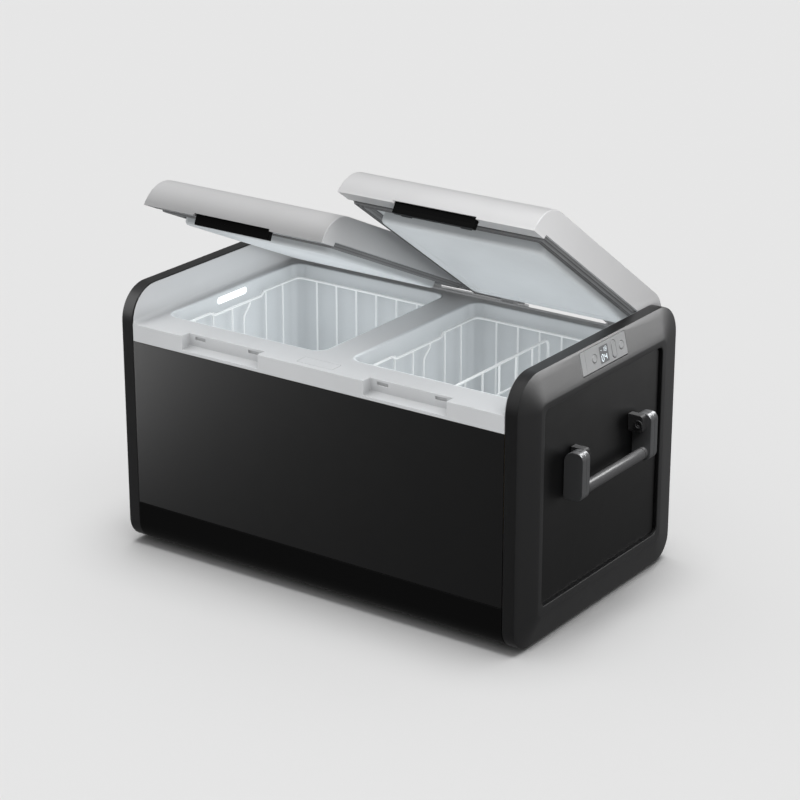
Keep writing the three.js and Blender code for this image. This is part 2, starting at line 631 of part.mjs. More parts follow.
// Windows through the long walls, the end walls and the floor of one stage of a basket.
function basketWindows(x, z, columns) {
  const across = windows(x[0] + POST, x[1] - POST, columns);
  const along = windows(BASKET_Y[0] + POST, BASKET_Y[1] - POST, 4);
  const far = 30;
  const [low, high] = [z[0] + WIRE, z[1] - WIRE - 1];
  const [front, rear] = [BASKET_Y[0] + POST, BASKET_Y[1] - POST];
  return [
    ...across.map(([a, b]) => block([a, BASKET_Y[0] - far, low], [b, BASKET_Y[1] + far, high])),
    ...along.map(([a, b]) => block([x[0] - far, a, low], [x[1] + far, b, high])),
    ...across.map(([a, b]) => block([a, front, z[0] - 1], [b, rear, z[0] + WIRE + 1])),
  ];
}

function leftBasket() {
  const tray = cut(basketVolume(0, BASKET_Z[1], false), basketVolume(WIRE, BODY_H, false));
  return cut(tray, ...basketWindows(BASKET_X, BASKET_Z, 5));
}

function rightBasket() {
  const tray = cut(basketVolume(0, BASKET_Z[1], true), basketVolume(WIRE, BODY_H, true));
  const lower = [BASKET_Z[0], BASKET_STEP_Z];
  const upper = [BASKET_STEP_Z, BASKET_Z[1]];
  const stepFloor = windows(BASKET_STEP_X + WIRE, BASKET_X[1] - POST, 3).map(([a, b]) =>
    block([a, BASKET_Y[0] + POST, BASKET_STEP_Z - 1], [b, BASKET_Y[1] - POST, BASKET_STEP_Z + WIRE + 1]));
  const columns = 5;
  const upperWalls = basketWindows(BASKET_X, upper, columns).slice(0, -columns);
  const lowerWalls = basketWindows([BASKET_X[0], BASKET_STEP_X], lower, 2);
  return cut(tray, ...upperWalls, ...lowerWalls, ...stepFloor);
}

function basketDivider() {
  const x = [STEP_X - 0.9, STEP_X + 2.1];
  const y = [-150, 155];
  const z = [BASKET_STEP_Z + WIRE + 1, BASKET_Z[1] - 1];
  const fence = block([x[0], y[0], z[0]], [x[1], y[1], z[1]]);
  const gaps = windows(y[0] + WIRE, y[1] - WIRE, 6).map(([a, b]) =>
    block([x[0] - 1, a, z[0] + WIRE], [x[1] + 1, b, z[1] - WIRE]));
  return cut(fence, ...gaps);
}

// ---- Compressor bay ----
const FLOOR = FOOT_H + SKIN;
const COMPRESSOR = { x: 312, y: -40, radius: 56, low: 22, high: 150 };
const FAN = { x: 312, y: 150, z: 90, half: 60, deep: 25, bore: 56 };
const COIL = { x: [250, 376], y: [186, 216], z: [26, 166] };

function mountingPlate() {
  return block([BAY_X + 4, -140, FLOOR + 2], [MID - 4, 60, FLOOR + 4]);
}

function compressor() {
  const { x, y, radius, low, high } = COMPRESSOR;
  const profile = [
    ...points([0, low], [radius - 16, low]),
    ...arc(radius - 14, low + 14, 14, -90, 0, 3),
    ...arc(radius - 34, high - 34, 34, 0, 90, 5),
    ...points([0, high]),
  ];
  const can = solidOf(new THREE.LatheGeometry(profile, 18).rotateX(Math.PI / 2).translate(x, y, 0));
  const legs = [-1, 1].flatMap((i) => [-1, 1].map((j) =>
    prism('z', disc(x + i * 46, y + j * 46, 8, 8), FLOOR + 4 + GAP, low + 12)));
  const foot = prism('z', outline([x - 56, y - 56], [x + 56, y + 56], 10, 3), low - 2, low + 2);
  const terminals = block([x - 22, y - radius - 12, 60], [x + 22, y - radius + 8, 104]);
  return join(can, foot, terminals, ...legs);
}

function condenser() {
  const { x, y, z } = COIL;
  const count = 7;
  const pitch = (x[1] - x[0] - 1.5) / (count - 1);
  const fins = Array.from({ length: count }, (_, k) =>
    block([x[0] + pitch * k, y[0], z[0]], [x[0] + pitch * k + 1.5, y[1], z[1]]));
  const middle = (y[0] + y[1]) / 2;
  const rows = [0.25, 0.75].map((share) =>
    prism('x', disc(middle, z[0] + share * (z[1] - z[0]), 5, 6), x[0] + 0.2, x[1] - 0.2));
  return join(...fins, ...rows);
}

function fanShroud() {
  const { x, y, z, half, deep, bore } = FAN;
  const housing = prism('y', outline([x - half, z - half], [x + half, z + half], 6, 2), y, y + deep);
  const throat = prism('y', disc(x, z, bore, 32), y - 1, y + deep + 1);
  const spokes = [-1, 1].map((side) => {
    const low = [x - half + 3, y + deep - 3, z + side * 9 - 2];
    return block(low, [x + half - 3, y + deep, z + side * 9 + 2]);
  });
  const motorPlate = prism('y', disc(x, z, 18, 20), y + deep - 3, y + deep);
  return join(cut(housing, throat), motorPlate, ...spokes);
}

// Drawn about its own shaft, which runs along Y.
function fanImpeller() {
  const blades = 7;
  const hub = prism('y', disc(0, 0, 17, 20), 3, FAN.deep - 4);
  const vanes = Array.from({ length: blades }, (_, k) => {
    const reach = FAN.bore - 20;
    const blade = new THREE.BoxGeometry(reach, 2, 18);
    blade.rotateX(0.6).translate(16 + reach / 2, FAN.deep / 2, 0).rotateY((2 * Math.PI * k) / blades);
    return solidOf(blade);
  });
  const slab = prism('y', disc(0, 0, FAN.bore - 2, 28), 3, FAN.deep - 4.5);
  return join(hub, join(...vanes).intersect(slab));
}

function filterDrier() {
  const profile = [
    ...points([0, 0], [3, 0], [3, 12]),
    ...arc(3, 20, 7, -60, 0, 3),
    ...arc(3, 74, 7, 0, 60, 3),
    ...points([3, 82], [3, 94], [0, 94]),
  ];
  return new THREE.LatheGeometry(profile, 12).rotateX(Math.PI / 2).translate(262, 96, 30);
}

function dischargeLine() {
  const { x, y, radius } = COMPRESSOR;
  const start = y + radius + 1;
  const top = COIL.z[1] + 1;
  return tube([[x, start, 108], [x, start + 24, 110], [x + 10, 76, 162], [x + 14, 120, 188],
    [x + 12, 180, 190], [x + 12, 201, 182], [x + 12, 201, top]], 3, 14);
}

function suctionLine() {
  const { x, y, radius } = COMPRESSOR;
  const reach = (radius + 4.5) * Math.SQRT1_2;
  return tube([[BAY_X + 5, -128, 206], [BAY_X + 14, -124, 190], [BAY_X + 24, -100, 140],
    [x - reach, y - reach, 100]], 4, 8);
}

function controlModule() {
  const [low, high] = [[262, -214, 34], [362, -176, 150]];
  const box = block(low, high);
  const grooves = windows(low[0] + 2, high[0] - 2, 9).map(([a, b]) =>
    block([a, high[1] - 14, low[2] - 1], [b, high[1] + 1, high[2] + 1]));
  return cut(box, ...grooves);
}

function powerInlet() {
  const housing = block([INLET_X[0], HALF_D - 22, INLET_Z[0]], [INLET_X[1], HALF_D - GAP, INLET_Z[1]]);
  const middle = (INLET_Z[0] + INLET_Z[1]) / 2;
  const depth = [HALF_D - 18, HALF_D + 1];
  const mainsHole = outline([INLET_X[0] + 5, middle - 9], [INLET_X[0] + 27, middle + 9], 4, 2);
  const directHole = outline([INLET_X[0] + 34, middle - 8], [INLET_X[1] - 5, middle + 8], 2, 2);
  const mains = prism('y', mainsHole, ...depth);
  const direct = prism('y', directHole, ...depth);
  return cut(housing, mains, direct);
}

// ---- Assembly ----
add('front_panel', frontPanel(), blackPaint());
add('rear_panel', rearPanel(), blackPaint());
add('base_tray', baseTray(), blackPlastic());
add('left_end_cap', mirrored(geometryOf(endCap())), blackPlastic());
add('right_end_cap', endCap([panelPocket(), ...capVents()]), blackPlastic());
addPair('end_panel', endPanel(), blackPlastic);
addPair('foot_strip', footStrip(), darkRubber);
add('top_frame', topFrame(), palePlastic());
add('centre_tab', centreTab(), palePlastic());

add('left_liner', liner(leftLinerVolume, -1), linerPlastic());
add('right_liner', liner(rightLinerVolume, 1), linerPlastic());
addPair('lamp', lamp(), () => finish(0xffffff, 0.3));
add('left_evaporator', evaporator((grow) => flipX(wellOutline(grow))), steel());
add('right_evaporator', evaporator(deepOutline), steel());
add('foam_body', foamBody(), foam());
add('left_drain_plug', drainPlug(DRAIN_X[0]), darkRubber());
add('right_drain_plug', drainPlug(DRAIN_X[1]), darkRubber());

// A lid turns about its hinge; its pieces are drawn closed, then moved so that the hinge is their origin.
function lid(side, angle) {
  const pivot = new THREE.Group();
  pivot.position.set(side * LID_X, HINGE_Y, HINGE_Z);
  pivot.rotation.x = -angle;
  const closed = new THREE.Group();
  closed.position.set(0, -HINGE_Y, -HINGE_Z);
  pivot.add(closed);
  cooler.add(pivot);
  return closed;
}
const rightLid = lid(1, RIGHT_OPEN);
const leftLid = lid(-1, LEFT_OPEN);
addPair('lid_shell', lidShell(), palePlastic, rightLid, leftLid);
addPair('lid_foam', lidFoam(), foam, rightLid, leftLid);
addPair('lid_liner', lidLiner(), linerPlastic, rightLid, leftLid);
addPair('lid_gasket', lidGasket(), darkRubber, rightLid, leftLid);
addPair('hinge_pin', hingePin(), steel, rightLid, leftLid);
addPair('latch_handle', latchHandle(), blackPlastic, rightLid, leftLid);

for (const [place, side] of [['front', -1], ['rear', 1]]) {
  addPair(`handle_${place}_mount`, handleMount(side), blackPlastic);
  addPair(`handle_${place}_arm`, handleArm(side), anodised);
}
addPair('handle_grip', handleGrip(), blackPlastic);

const panelGroup = new THREE.Group();
panelGroup.applyMatrix4(PANEL_FRAME);
cooler.add(panelGroup);
add('control_bezel', controlBezel(), finish(0x9c9ea0, 0.4, 0.6), panelGroup);
add('display_window', displayWindow(), finish(0x08090a, 0.1), panelGroup);
add('power_button', roundKey(BUTTON_X[0]), finish(0xb4b6b8, 0.4, 0.5), panelGroup);
add('menu_button', roundKey(BUTTON_X[1]), finish(0xb4b6b8, 0.4, 0.5), panelGroup);
add('rocker_button', rockerKey(), finish(0xb4b6b8, 0.4, 0.5), panelGroup);

add('left_basket', mirrored(geometryOf(leftBasket())), whiteWire());
add('right_basket', rightBasket(), whiteWire());
add('basket_divider', basketDivider(), whiteWire());

add('mounting_plate', mountingPlate(), steel());
add('compressor', compressor(), finish(0x1a1a1a, 0.5, 0.4));
add('condenser', condenser(), steel());
add('fan_shroud', fanShroud(), blackPlastic());
add('fan_impeller', fanImpeller(), blackPlastic()).position.set(FAN.x, FAN.y, FAN.z);
add('filter_drier', filterDrier(), copper());
add('discharge_line', dischargeLine(), copper());
add('suction_line', suctionLine(), copper());
add('control_module', controlModule(), finish(0x707274, 0.5, 0.7));
add('power_inlet', powerInlet(), blackPlastic());

export default cooler;
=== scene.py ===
"""Looks of a dual-zone compressor cooler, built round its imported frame.

Shapes are drawn in millimetres in the frame's axes (X right, Y back, Z up); piece() turns them into metres.
"""
import json
from math import asin, cos, degrees, pi, radians, sin

import bmesh
import bpy
from mathutils import Matrix, Vector

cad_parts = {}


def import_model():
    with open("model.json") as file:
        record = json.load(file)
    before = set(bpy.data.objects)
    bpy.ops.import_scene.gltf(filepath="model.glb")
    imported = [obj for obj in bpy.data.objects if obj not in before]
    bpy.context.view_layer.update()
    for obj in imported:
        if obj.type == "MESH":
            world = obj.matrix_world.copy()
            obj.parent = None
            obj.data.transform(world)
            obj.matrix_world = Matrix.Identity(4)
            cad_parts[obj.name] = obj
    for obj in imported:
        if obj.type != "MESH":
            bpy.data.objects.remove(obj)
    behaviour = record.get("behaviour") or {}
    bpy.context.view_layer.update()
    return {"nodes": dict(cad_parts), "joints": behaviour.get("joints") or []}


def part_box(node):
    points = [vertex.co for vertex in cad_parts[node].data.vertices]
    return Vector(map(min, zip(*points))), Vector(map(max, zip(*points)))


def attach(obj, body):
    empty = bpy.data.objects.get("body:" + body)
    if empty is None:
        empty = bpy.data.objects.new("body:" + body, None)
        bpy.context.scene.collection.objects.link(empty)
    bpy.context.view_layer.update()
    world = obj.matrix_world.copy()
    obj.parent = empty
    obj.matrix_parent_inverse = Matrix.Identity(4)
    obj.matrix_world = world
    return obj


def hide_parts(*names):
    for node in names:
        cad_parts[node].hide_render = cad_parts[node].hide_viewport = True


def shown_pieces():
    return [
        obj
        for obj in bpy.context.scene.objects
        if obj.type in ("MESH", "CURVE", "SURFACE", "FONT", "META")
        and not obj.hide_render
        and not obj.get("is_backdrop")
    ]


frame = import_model()
JOINTS = {joint["name"]: joint for joint in frame["joints"]}
SIDES = {"left": -1, "right": 1}


def span(node):
    """Lowest and highest corner of a CAD node at rest, in millimetres."""
    low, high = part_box(node)
    return low * 1000, high * 1000


# ---- Sizes taken from the frame ----
CAP_LOW, CAP_HIGH = span("right_end_cap")
PANEL_LOW, PANEL_HIGH = span("right_end_panel")
FRONT_LOW, FRONT_HIGH = span("front_panel")
TRAY_TOP = span("base_tray")[1].z
WELL_LOW, WELL_HIGH = span("left_liner")
CAP_IN, HALF_W = CAP_LOW.x, CAP_HIGH.x
HALF_D = CAP_HIGH.y
FOOT_H, BODY_H = CAP_LOW.z, CAP_HIGH.z
MID = FRONT_HIGH.x
RIM_Z = round(WELL_HIGH.z + 0.3)
LINER_T = 1.8
WELL_X = (-WELL_HIGH.x + LINER_T, -WELL_LOW.x - LINER_T)
WELL_Y = (WELL_LOW.y + LINER_T, WELL_HIGH.y - LINER_T)
WELL_FLOOR = WELL_LOW.z + LINER_T

# ---- Sizes of the shapes themselves ----
CORNER_TOP = 60
CORNER_BOTTOM = 42
RIM_BAND = 23.5  # square band of an end cap before the wide bevel
BEVEL = 51.2  # height of the wide bevel; its depth is the rest of the cap
BEVEL_LOW = 47.4
FACE_R = 15
CAP_WALL = 4
RECESS = 10
WINDOW_MARGIN = 5  # the recess is this much larger than an end panel all round
WINDOW_R = 11  # corners of the recess for an end panel
WELL_R = 22
RIBS, RIB_PITCH, RIB_START = 3, 6.0, 2.6  # ridges of a lid's gasket
WELL_FILLET = 14  # between the walls and the floor
STEP_X, STEP_Z = 206, 270  # the right compartment's raised floor
ARC_Y, ARC_Z = HALF_D - CORNER_TOP, BODY_H - CORNER_TOP
LID_X = 189
LID_HALF = 187.7
LID_R = CORNER_TOP - 0.5
LID_EDGE_Z = 425
SKIRT_Z = 417.5
SKIRT_Y = 211
CAVITY_Y = 208.3
HINGE_Y, HINGE_Z = (1000 * value for value in JOINTS["left_lid_hinge"]["pos_m"][1:])
LATCH_HALF = 78
LATCH_Y, LATCH_Z = -236.5, 419.5
LUG_X = (96, 120)
POCKET_HALF = 81
HOOK_X = 57  # the latch hooks, either side of a latch's middle
LAMP_Y, LAMP_Z = (-42, 43), (392, 406)
PANEL_Z = 404  # underside of a closed lid's panel


# ---- Drawing ----
def arc(u, v, radius, start, end, steps):
    """Points along an arc, angles in degrees."""
    angles = [radians(start + (end - start) * k / steps) for k in range(steps + 1)]
    return [(u + radius * cos(a), v + radius * sin(a)) for a in angles]


def rounded(low, high, radii, steps=8):
    """Rectangle with rounded corners: bottom right, top right, top left, bottom left."""
    br, tr, tl, bl = radii if isinstance(radii, tuple) else (radii,) * 4
    corners = (
        (high[0] - br, low[1] + br, br, -90),
        (high[0] - tr, high[1] - tr, tr, 0),
        (low[0] + tl, high[1] - tl, tl, 90),
        (low[0] + bl, low[1] + bl, bl, 180),
    )
    return [p for u, v, r, start in corners for p in arc(u, v, r, start, start + 90, steps)]


def disc(u, v, radius, sides=32):
    return arc(u, v, radius, 0, 360 - 360 / sides, sides - 1)


def placed(axis, outline, at):
    """An outline set at a place on an axis: (y, z) for x, (x, z) for y and (x, y) for z."""
    if axis == "x":
        return [(at, u, v) for u, v in outline]
    if axis == "y":
        return [(u, at, v) for u, v in outline]
    return [(u, v, at) for u, v in outline]


def loft(rings, closed=False):
    """A skin through rings of equal length, with flat ends, or joined end to end when closed."""
    shape = bmesh.new()
    loops = [[shape.verts.new(p) for p in ring] for ring in rings]
    pairs = list(zip(loops, loops[1:])) + ([(loops[-1], loops[0])] if closed else [])
    for a, b in pairs:
        for k in range(len(a)):
            n = (k + 1) % len(a)
            shape.faces.new((a[k], a[n], b[n], b[k]))
    if not closed:
        shape.faces.new(loops[0][::-1])
        shape.faces.new(loops[-1])
    bmesh.ops.recalc_face_normals(shape, faces=shape.faces)
    return shape


def prism(axis, outline, low, high):
    return loft([placed(axis, outline, low), placed(axis, outline, high)])


def block(low, high):
    corners = [(low[0], low[1]), (high[0], low[1]), (high[0], high[1]), (low[0], high[1])]
    return prism("z", corners, low[2], high[2])


def bevelled(shape, width, segments=2, limit=30, pick=None):
    """Rounds the edges sharper than limit degrees, or those of them that pick chooses."""
    edges = [
        e for e in shape.edges
        if len(e.link_faces) == 2 and e.calc_face_angle(0) > radians(limit) and (pick is None or pick(e))
    ]
    bmesh.ops.bevel(shape, geom=edges, offset=width, segments=segments, profile=0.5, affect="EDGES")
    return shape


def gathered(*shapes):
    """Several shapes as one mesh."""
    whole = shapes[0]
    for shape in shapes[1:]:
        mesh = bpy.data.meshes.new("part")
        shape.to_mesh(mesh)
        shape.free()
        whole.from_mesh(mesh)
        bpy.data.meshes.remove(mesh)
    return whole


def combined(base, tools, operation="DIFFERENCE"):
    """The base with each tool cut out of it, or joined to it with UNION."""
    holders = []
    for shape in (base, *tools):
        mesh = bpy.data.meshes.new("part")
        shape.to_mesh(mesh)
        shape.free()
        holder = bpy.data.objects.new("part", mesh)
        bpy.context.scene.collection.objects.link(holder)
        holders.append(holder)
    for tool in holders[1:]:
        step = holders[0].modifiers.new("step", "BOOLEAN")
        step.object = tool
        step.operation = operation
        step.solver = "EXACT"
    bpy.context.view_layer.update()
    result = bmesh.new()
    result.from_object(holders[0], bpy.context.evaluated_depsgraph_get())
    for holder in holders:
        bpy.data.meshes.remove(holder.data)
    return result


def filleted(corners, radius, steps=5, closed=False):
    """A path with its corners rounded."""
    corners = [Vector(c) for c in corners]
    path = []
    for k, corner in enumerate(corners):
        if not closed and k in (0, len(corners) - 1):
            path.append(corner)
            continue
        back, ahead = corners[k - 1] - corner, corners[(k + 1) % len(corners)] - corner
        reach = min(radius, back.length / 2, ahead.length / 2)
        start, end = corner + back.normalized() * reach, corner + ahead.normalized() * reach
        for step in range(steps + 1):
            t = step / steps
            path.append(start * (1 - t) ** 2 + corner * 2 * t * (1 - t) + end * t * t)
    return path


def wire(path, radius, sides=8, closed=False):
    """A round bar along a path."""
    path = [Vector(p) for p in path]
    count = len(path)
    normal = None
    rings = []
    for k, point in enumerate(path):
        before = path[k - 1] if closed or k else path[0]
        after = path[(k + 1) % count] if closed or k < count - 1 else path[-1]
        along = (after - before).normalized()
        normal = along.orthogonal() if normal is None else normal - along * normal.dot(along)
        normal.normalize()
        other = along.cross(normal)
        turns = [2 * pi * step / sides for step in range(sides)]
        rings.append([point + radius * (cos(a) * normal + sin(a) * other) for a in turns])
    return loft(rings, closed)


def lathe(profile, axis_point, direction, sides=32):
    """A shape turned about an axis. The profile is (distance along, radius), from end to end."""
    direction = Vector(direction).normalized()
    normal = direction.orthogonal().normalized()
    other = direction.cross(normal)
    turns = [2 * pi * k / sides for k in range(sides)]
    rings = [
        [Vector(axis_point) + direction * along + radius * (cos(a) * normal + sin(a) * other) for a in turns]
        for along, radius in profile
    ]
    return loft(rings)


def from_node(node):
    """A CAD node's mesh in millimetres, its triangles merged into flat faces."""
    shape = bmesh.new()
    shape.from_mesh(frame["nodes"][node].data)
    for layers in (shape.loops.layers.float_vector, shape.loops.layers.uv):
        for layer in list(layers.values()):
            layers.remove(layer)
    bmesh.ops.scale(shape, vec=(1000,) * 3, verts=shape.verts)
    bmesh.ops.remove_doubles(shape, verts=shape.verts, dist=0.01)
    bmesh.ops.dissolve_limit(shape, angle_limit=radians(0.6), verts=shape.verts, edges=shape.edges)
    return shape


def mirrored(shape):
    bmesh.ops.scale(shape, vec=(-1, 1, 1), verts=shape.verts)
    bmesh.ops.reverse_faces(shape, faces=shape.faces)
    return shape


def for_side(shape, side):
    """A shape drawn for the right-hand end, mirrored when it is for the left."""
    return mirrored(shape) if side == "left" else shape


def piece(name, shape, look, body, nodes=(), turn=None, smooth=35):
    """Makes a shape a piece that rides on a body and stands for CAD nodes."""
    if turn is not None:
        bmesh.ops.transform(shape, matrix=turn, verts=shape.verts)
    bmesh.ops.scale(shape, vec=(0.001,) * 3, verts=shape.verts)
    mesh = bpy.data.meshes.new(name)
    shape.to_mesh(mesh)
    shape.free()
    if "custom_normal" in mesh.attributes:
        mesh.attributes.remove(mesh.attributes["custom_normal"])
    for polygon in mesh.polygons:
        polygon.material_index = 0
    mesh.shade_smooth()
    mesh.set_sharp_from_angle(angle=radians(smooth))
    mesh.materials.clear()
    mesh.materials.append(look)
    made = bpy.data.objects.new(name, mesh)
    bpy.context.scene.collection.objects.link(made)
    flats = made.modifiers.new("even_shading", "WEIGHTED_NORMAL")
    flats.keep_sharp = True
    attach(made, body)
    if nodes:
        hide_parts(*nodes)
    return made


# ---- Materials ----
GLOSS_SPREAD = 0.012  # how far the roughness wanders either side of its value
AO_DARK = 0.3  # openness at which the painted shade in a groove is at its darkest


def ranged(tree, value, low, high, start=0.3, end=0.7, curve="LINEAR"):
    """A node output's range from start to end, carried to low to high."""
    ramp = tree.nodes.new("ShaderNodeMapRange")
    ramp.interpolation_type = curve
    for socket, number in (("From Min", start), ("From Max", end), ("To Min", low), ("To Max", high)):
        ramp.inputs[socket].default_value = number
    tree.links.new(value, ramp.inputs["Value"])
    return ramp.outputs["Result"]


def surface(name, color, roughness, metallic=0.0, specular=0.5, grain=(900, 0.06), mottle=0.08, wear=0.0,
            stretch=(1, 1, 1), coat=0.0, painted_shade=None):
    """A principled surface with uneven colour and gloss, a fine grain and paler worn edges.

    grain is (features per metre, height in millimetres); stretch squeezes the grain along an axis.
    Painted shade, the last argument, is (reach in millimetres, share of the colour left): ambient occlusion
    darkens the colour in grooves and corners.
    """
    material = bpy.data.materials.new(name)
    material.use_nodes = True
    tree = material.node_tree
    nodes, links = tree.nodes, tree.links
    shader = nodes["Principled BSDF"]
    shader.inputs["Metallic"].default_value = metallic
    shader.inputs["Specular IOR Level"].default_value = specular
    shader.inputs["Coat Weight"].default_value = coat
    shader.inputs["Coat Roughness"].default_value = 0.15
    place = nodes.new("ShaderNodeTexCoord")
    squeeze = nodes.new("ShaderNodeMapping")
    squeeze.inputs["Scale"].default_value = stretch
    links.new(place.outputs["Object"], squeeze.inputs["Vector"])

    def noise(scale, detail=3.0, vector=place.outputs["Object"]):
        texture = nodes.new("ShaderNodeTexNoise")
        texture.inputs["Scale"].default_value = scale
        texture.inputs["Detail"].default_value = detail
        links.new(vector, texture.inputs["Vector"])
        return texture.outputs["Fac"]

    def blended(factor, first, second):
        mix = nodes.new("ShaderNodeMix")
        mix.data_type = "RGBA"
        links.new(factor, mix.inputs["Factor"])
        for value, socket in ((first, mix.inputs["A"]), (second, mix.inputs["B"])):
            if isinstance(value, tuple):
                socket.default_value = (*value, 1)
            else:
                links.new(value, socket)
        return mix.outputs["Result"]

    darker = tuple(c * (1 - mottle) for c in color)
    paler = tuple(min(1.0, c * (1 + mottle)) for c in color)
    tone = blended(ranged(tree, noise(9), 0, 1), darker, paler)
    if wear:
        geometry = nodes.new("ShaderNodeNewGeometry")
        worn = ranged(tree, geometry.outputs["Pointiness"], 0, wear, 0.56, 0.72)
        tone = blended(worn, tone, tuple(min(1.0, c * 1.6 + 0.03) for c in color))
    # painted shade: ambient occlusion darkens the colour in grooves, corners and recesses, where shade falls
    if painted_shade:
        occlusion_probe = nodes.new("ShaderNodeAmbientOcclusion")
        occlusion_probe.samples = 8
        occlusion_probe.inputs["Distance"].default_value = painted_shade[0] / 1000
        shaded = nodes.new("ShaderNodeMix")
        shaded.data_type = "RGBA"
        shaded.blend_type = "MULTIPLY"
        shaded.inputs["Factor"].default_value = 1.0
        links.new(tone, shaded.inputs["A"])
        openness = ranged(tree, occlusion_probe.outputs["AO"], 0, 1, AO_DARK, 1)
        links.new(blended(openness, (painted_shade[1],) * 3, (1.0,) * 3), shaded.inputs["B"])
        tone = shaded.outputs["Result"]
    links.new(tone, shader.inputs["Base Color"])
    gloss = ranged(tree, noise(40, 5), roughness - GLOSS_SPREAD, roughness + GLOSS_SPREAD)
    links.new(gloss, shader.inputs["Roughness"])
    bump = nodes.new("ShaderNodeBump")
    bump.inputs["Strength"].default_value = 0.6
    bump.inputs["Distance"].default_value = grain[1] / 1000
    links.new(noise(grain[0], 2, squeeze.outputs["Vector"]), bump.inputs["Height"])
    links.new(bump.outputs["Normal"], shader.inputs["Normal"])
    return material


def glowing(name, color, strength, soft=None):
    """A lit surface. soft names the two axes of its own box along which the light fades to the edges."""
    material = bpy.data.materials.new(name)
    material.use_nodes = True
    tree = material.node_tree
    nodes, links = tree.nodes, tree.links
    shader = nodes["Principled BSDF"]
    shader.inputs["Base Color"].default_value = (*color, 1)
    shader.inputs["Roughness"].default_value = 0.3
    shader.inputs["Emission Color"].default_value = (*color, 1)
    place = nodes.new("ShaderNodeTexCoord")
    speckle = nodes.new("ShaderNodeTexNoise")
    speckle.inputs["Scale"].default_value = 300
    links.new(place.outputs["Object"], speckle.inputs["Vector"])
    glow = ranged(tree, speckle.outputs["Fac"], strength * 0.94, strength * 1.06, 0, 1)
    parts = nodes.new("ShaderNodeSeparateXYZ")
    links.new(place.outputs["Generated"], parts.inputs["Vector"])
    for axis, start in (soft or {}).items():
        offset = nodes.new("ShaderNodeMath")
        offset.operation = "SUBTRACT"
        offset.inputs[1].default_value = 0.5
        links.new(parts.outputs[axis], offset.inputs[0])
        distance = nodes.new("ShaderNodeMath")
        distance.operation = "ABSOLUTE"
        links.new(offset.outputs["Value"], distance.inputs[0])
        fade = ranged(tree, distance.outputs["Value"], 1, 0.08, start, 0.5, "SMOOTHSTEP")
        product = nodes.new("ShaderNodeMath")
        product.operation = "MULTIPLY"
        links.new(glow, product.inputs[0])
        links.new(fade, product.inputs[1])
        glow = product.outputs["Value"]
    links.new(glow, shader.inputs["Emission Strength"])
    return material


BLACK_PLASTIC = surface("black_moulding", (0.011, 0.011, 0.0115), 0.38, specular=0.4, grain=(1400, 0.06),
                        wear=0.3)
BLACK_PAINT = surface("black_powder_coat", (0.007, 0.007, 0.0073), 0.46, specular=0.32, grain=(1000, 0.04))
TRAY_BLACK = surface("tray_moulding", (0.0035, 0.0035, 0.0036), 0.5, specular=0.15, grain=(1200, 0.06))
LATCH_BLACK = surface("latch_moulding", (0.002, 0.002, 0.0021), 0.5, specular=0.12, grain=(1300, 0.05))
# the rim carries painted shade: its colour darkens in grooves, pockets, channels and corners
PALE = surface("pale_moulding", (0.55, 0.56, 0.57), 0.42, grain=(1300, 0.05), mottle=0.03, painted_shade=(28, 0.65))
LID_PAINT = surface("lid_moulding", (0.60, 0.60, 0.605), 0.36, grain=(1500, 0.04), mottle=0.02, wear=0.2)
# the liners carry painted shade: their colour darkens in the compartments' corners and hollows
LINER = surface("liner_moulding", (0.60, 0.628, 0.645), 0.36, grain=(700, 0.05), mottle=0.03,
                painted_shade=(40, 0.6))
# the gasket carries painted shade: its colour goes nearly black deep in the valleys between its ridges
GASKET = surface("gasket_rubber", (0.19, 0.193, 0.197), 0.62, specular=0.3, grain=(900, 0.08),
                 painted_shade=(6, 0.03))
RUBBER = surface("foot_rubber", (0.03, 0.03, 0.031), 0.8, specular=0.2, grain=(600, 0.25))
ANODISED = surface("anodised_arm", (0.15, 0.152, 0.156), 0.3, metallic=0.75, grain=(1500, 0.015),
                   stretch=(1, 1, 0.06), mottle=0.03)
GRIP = surface("grip_plastic", (0.035, 0.035, 0.036), 0.3, specular=0.7, grain=(1100, 0.05))
MOUNT_BLACK = surface("mount_moulding", (0.014, 0.014, 0.0145), 0.5, specular=0.3, grain=(1300, 0.06))
WIRE = surface("coated_wire", (0.80, 0.82, 0.825), 0.22, coat=0.4, grain=(400, 0.08), mottle=0.03)
BEZEL = surface("panel_metal", (0.36, 0.365, 0.37), 0.5, specular=0.25, metallic=0.1, grain=(1800, 0.02),
                stretch=(1, 0.05, 1))
KEYS = surface("key_caps", (0.38, 0.385, 0.39), 0.45, specular=0.3, metallic=0.1, grain=(1500, 0.03),
               wear=0.5)
GLASS = surface("display_glass", (0.16, 0.163, 0.168), 0.3, specular=0.3, grain=(60, 0.01))
DIGITS = glowing("display_digits", (0.75, 0.82, 0.86), 0.55)
LAMP = glowing("lamp_lens", (0.96, 0.98, 1.0), 1.6, soft={"Y": 0.38, "Z": 0.1})
FOAM = surface("insulation_foam", (0.78, 0.66, 0.38), 0.92, specular=0.1, grain=(350, 1.2), mottle=0.15)
STEEL = surface("zinc_plated_steel", (0.52, 0.53, 0.55), 0.36, metallic=0.95, grain=(260, 0.05), mottle=0.12)
COIL = surface("fin_aluminium", (0.66, 0.67, 0.68), 0.38, metallic=0.9, grain=(500, 0.06))
COPPER = surface("copper_line", (0.62, 0.27, 0.14), 0.34, metallic=0.95, grain=(300, 0.04), mottle=0.2)
POT = surface("compressor_enamel", (0.015, 0.015, 0.015), 0.35, coat=0.3, grain=(450, 0.15))
CIRCUIT_BOX = surface("module_casting", (0.30, 0.31, 0.32), 0.5, metallic=0.7, grain=(700, 0.15))


# ---- End caps ----
CAP_STEPS = 14


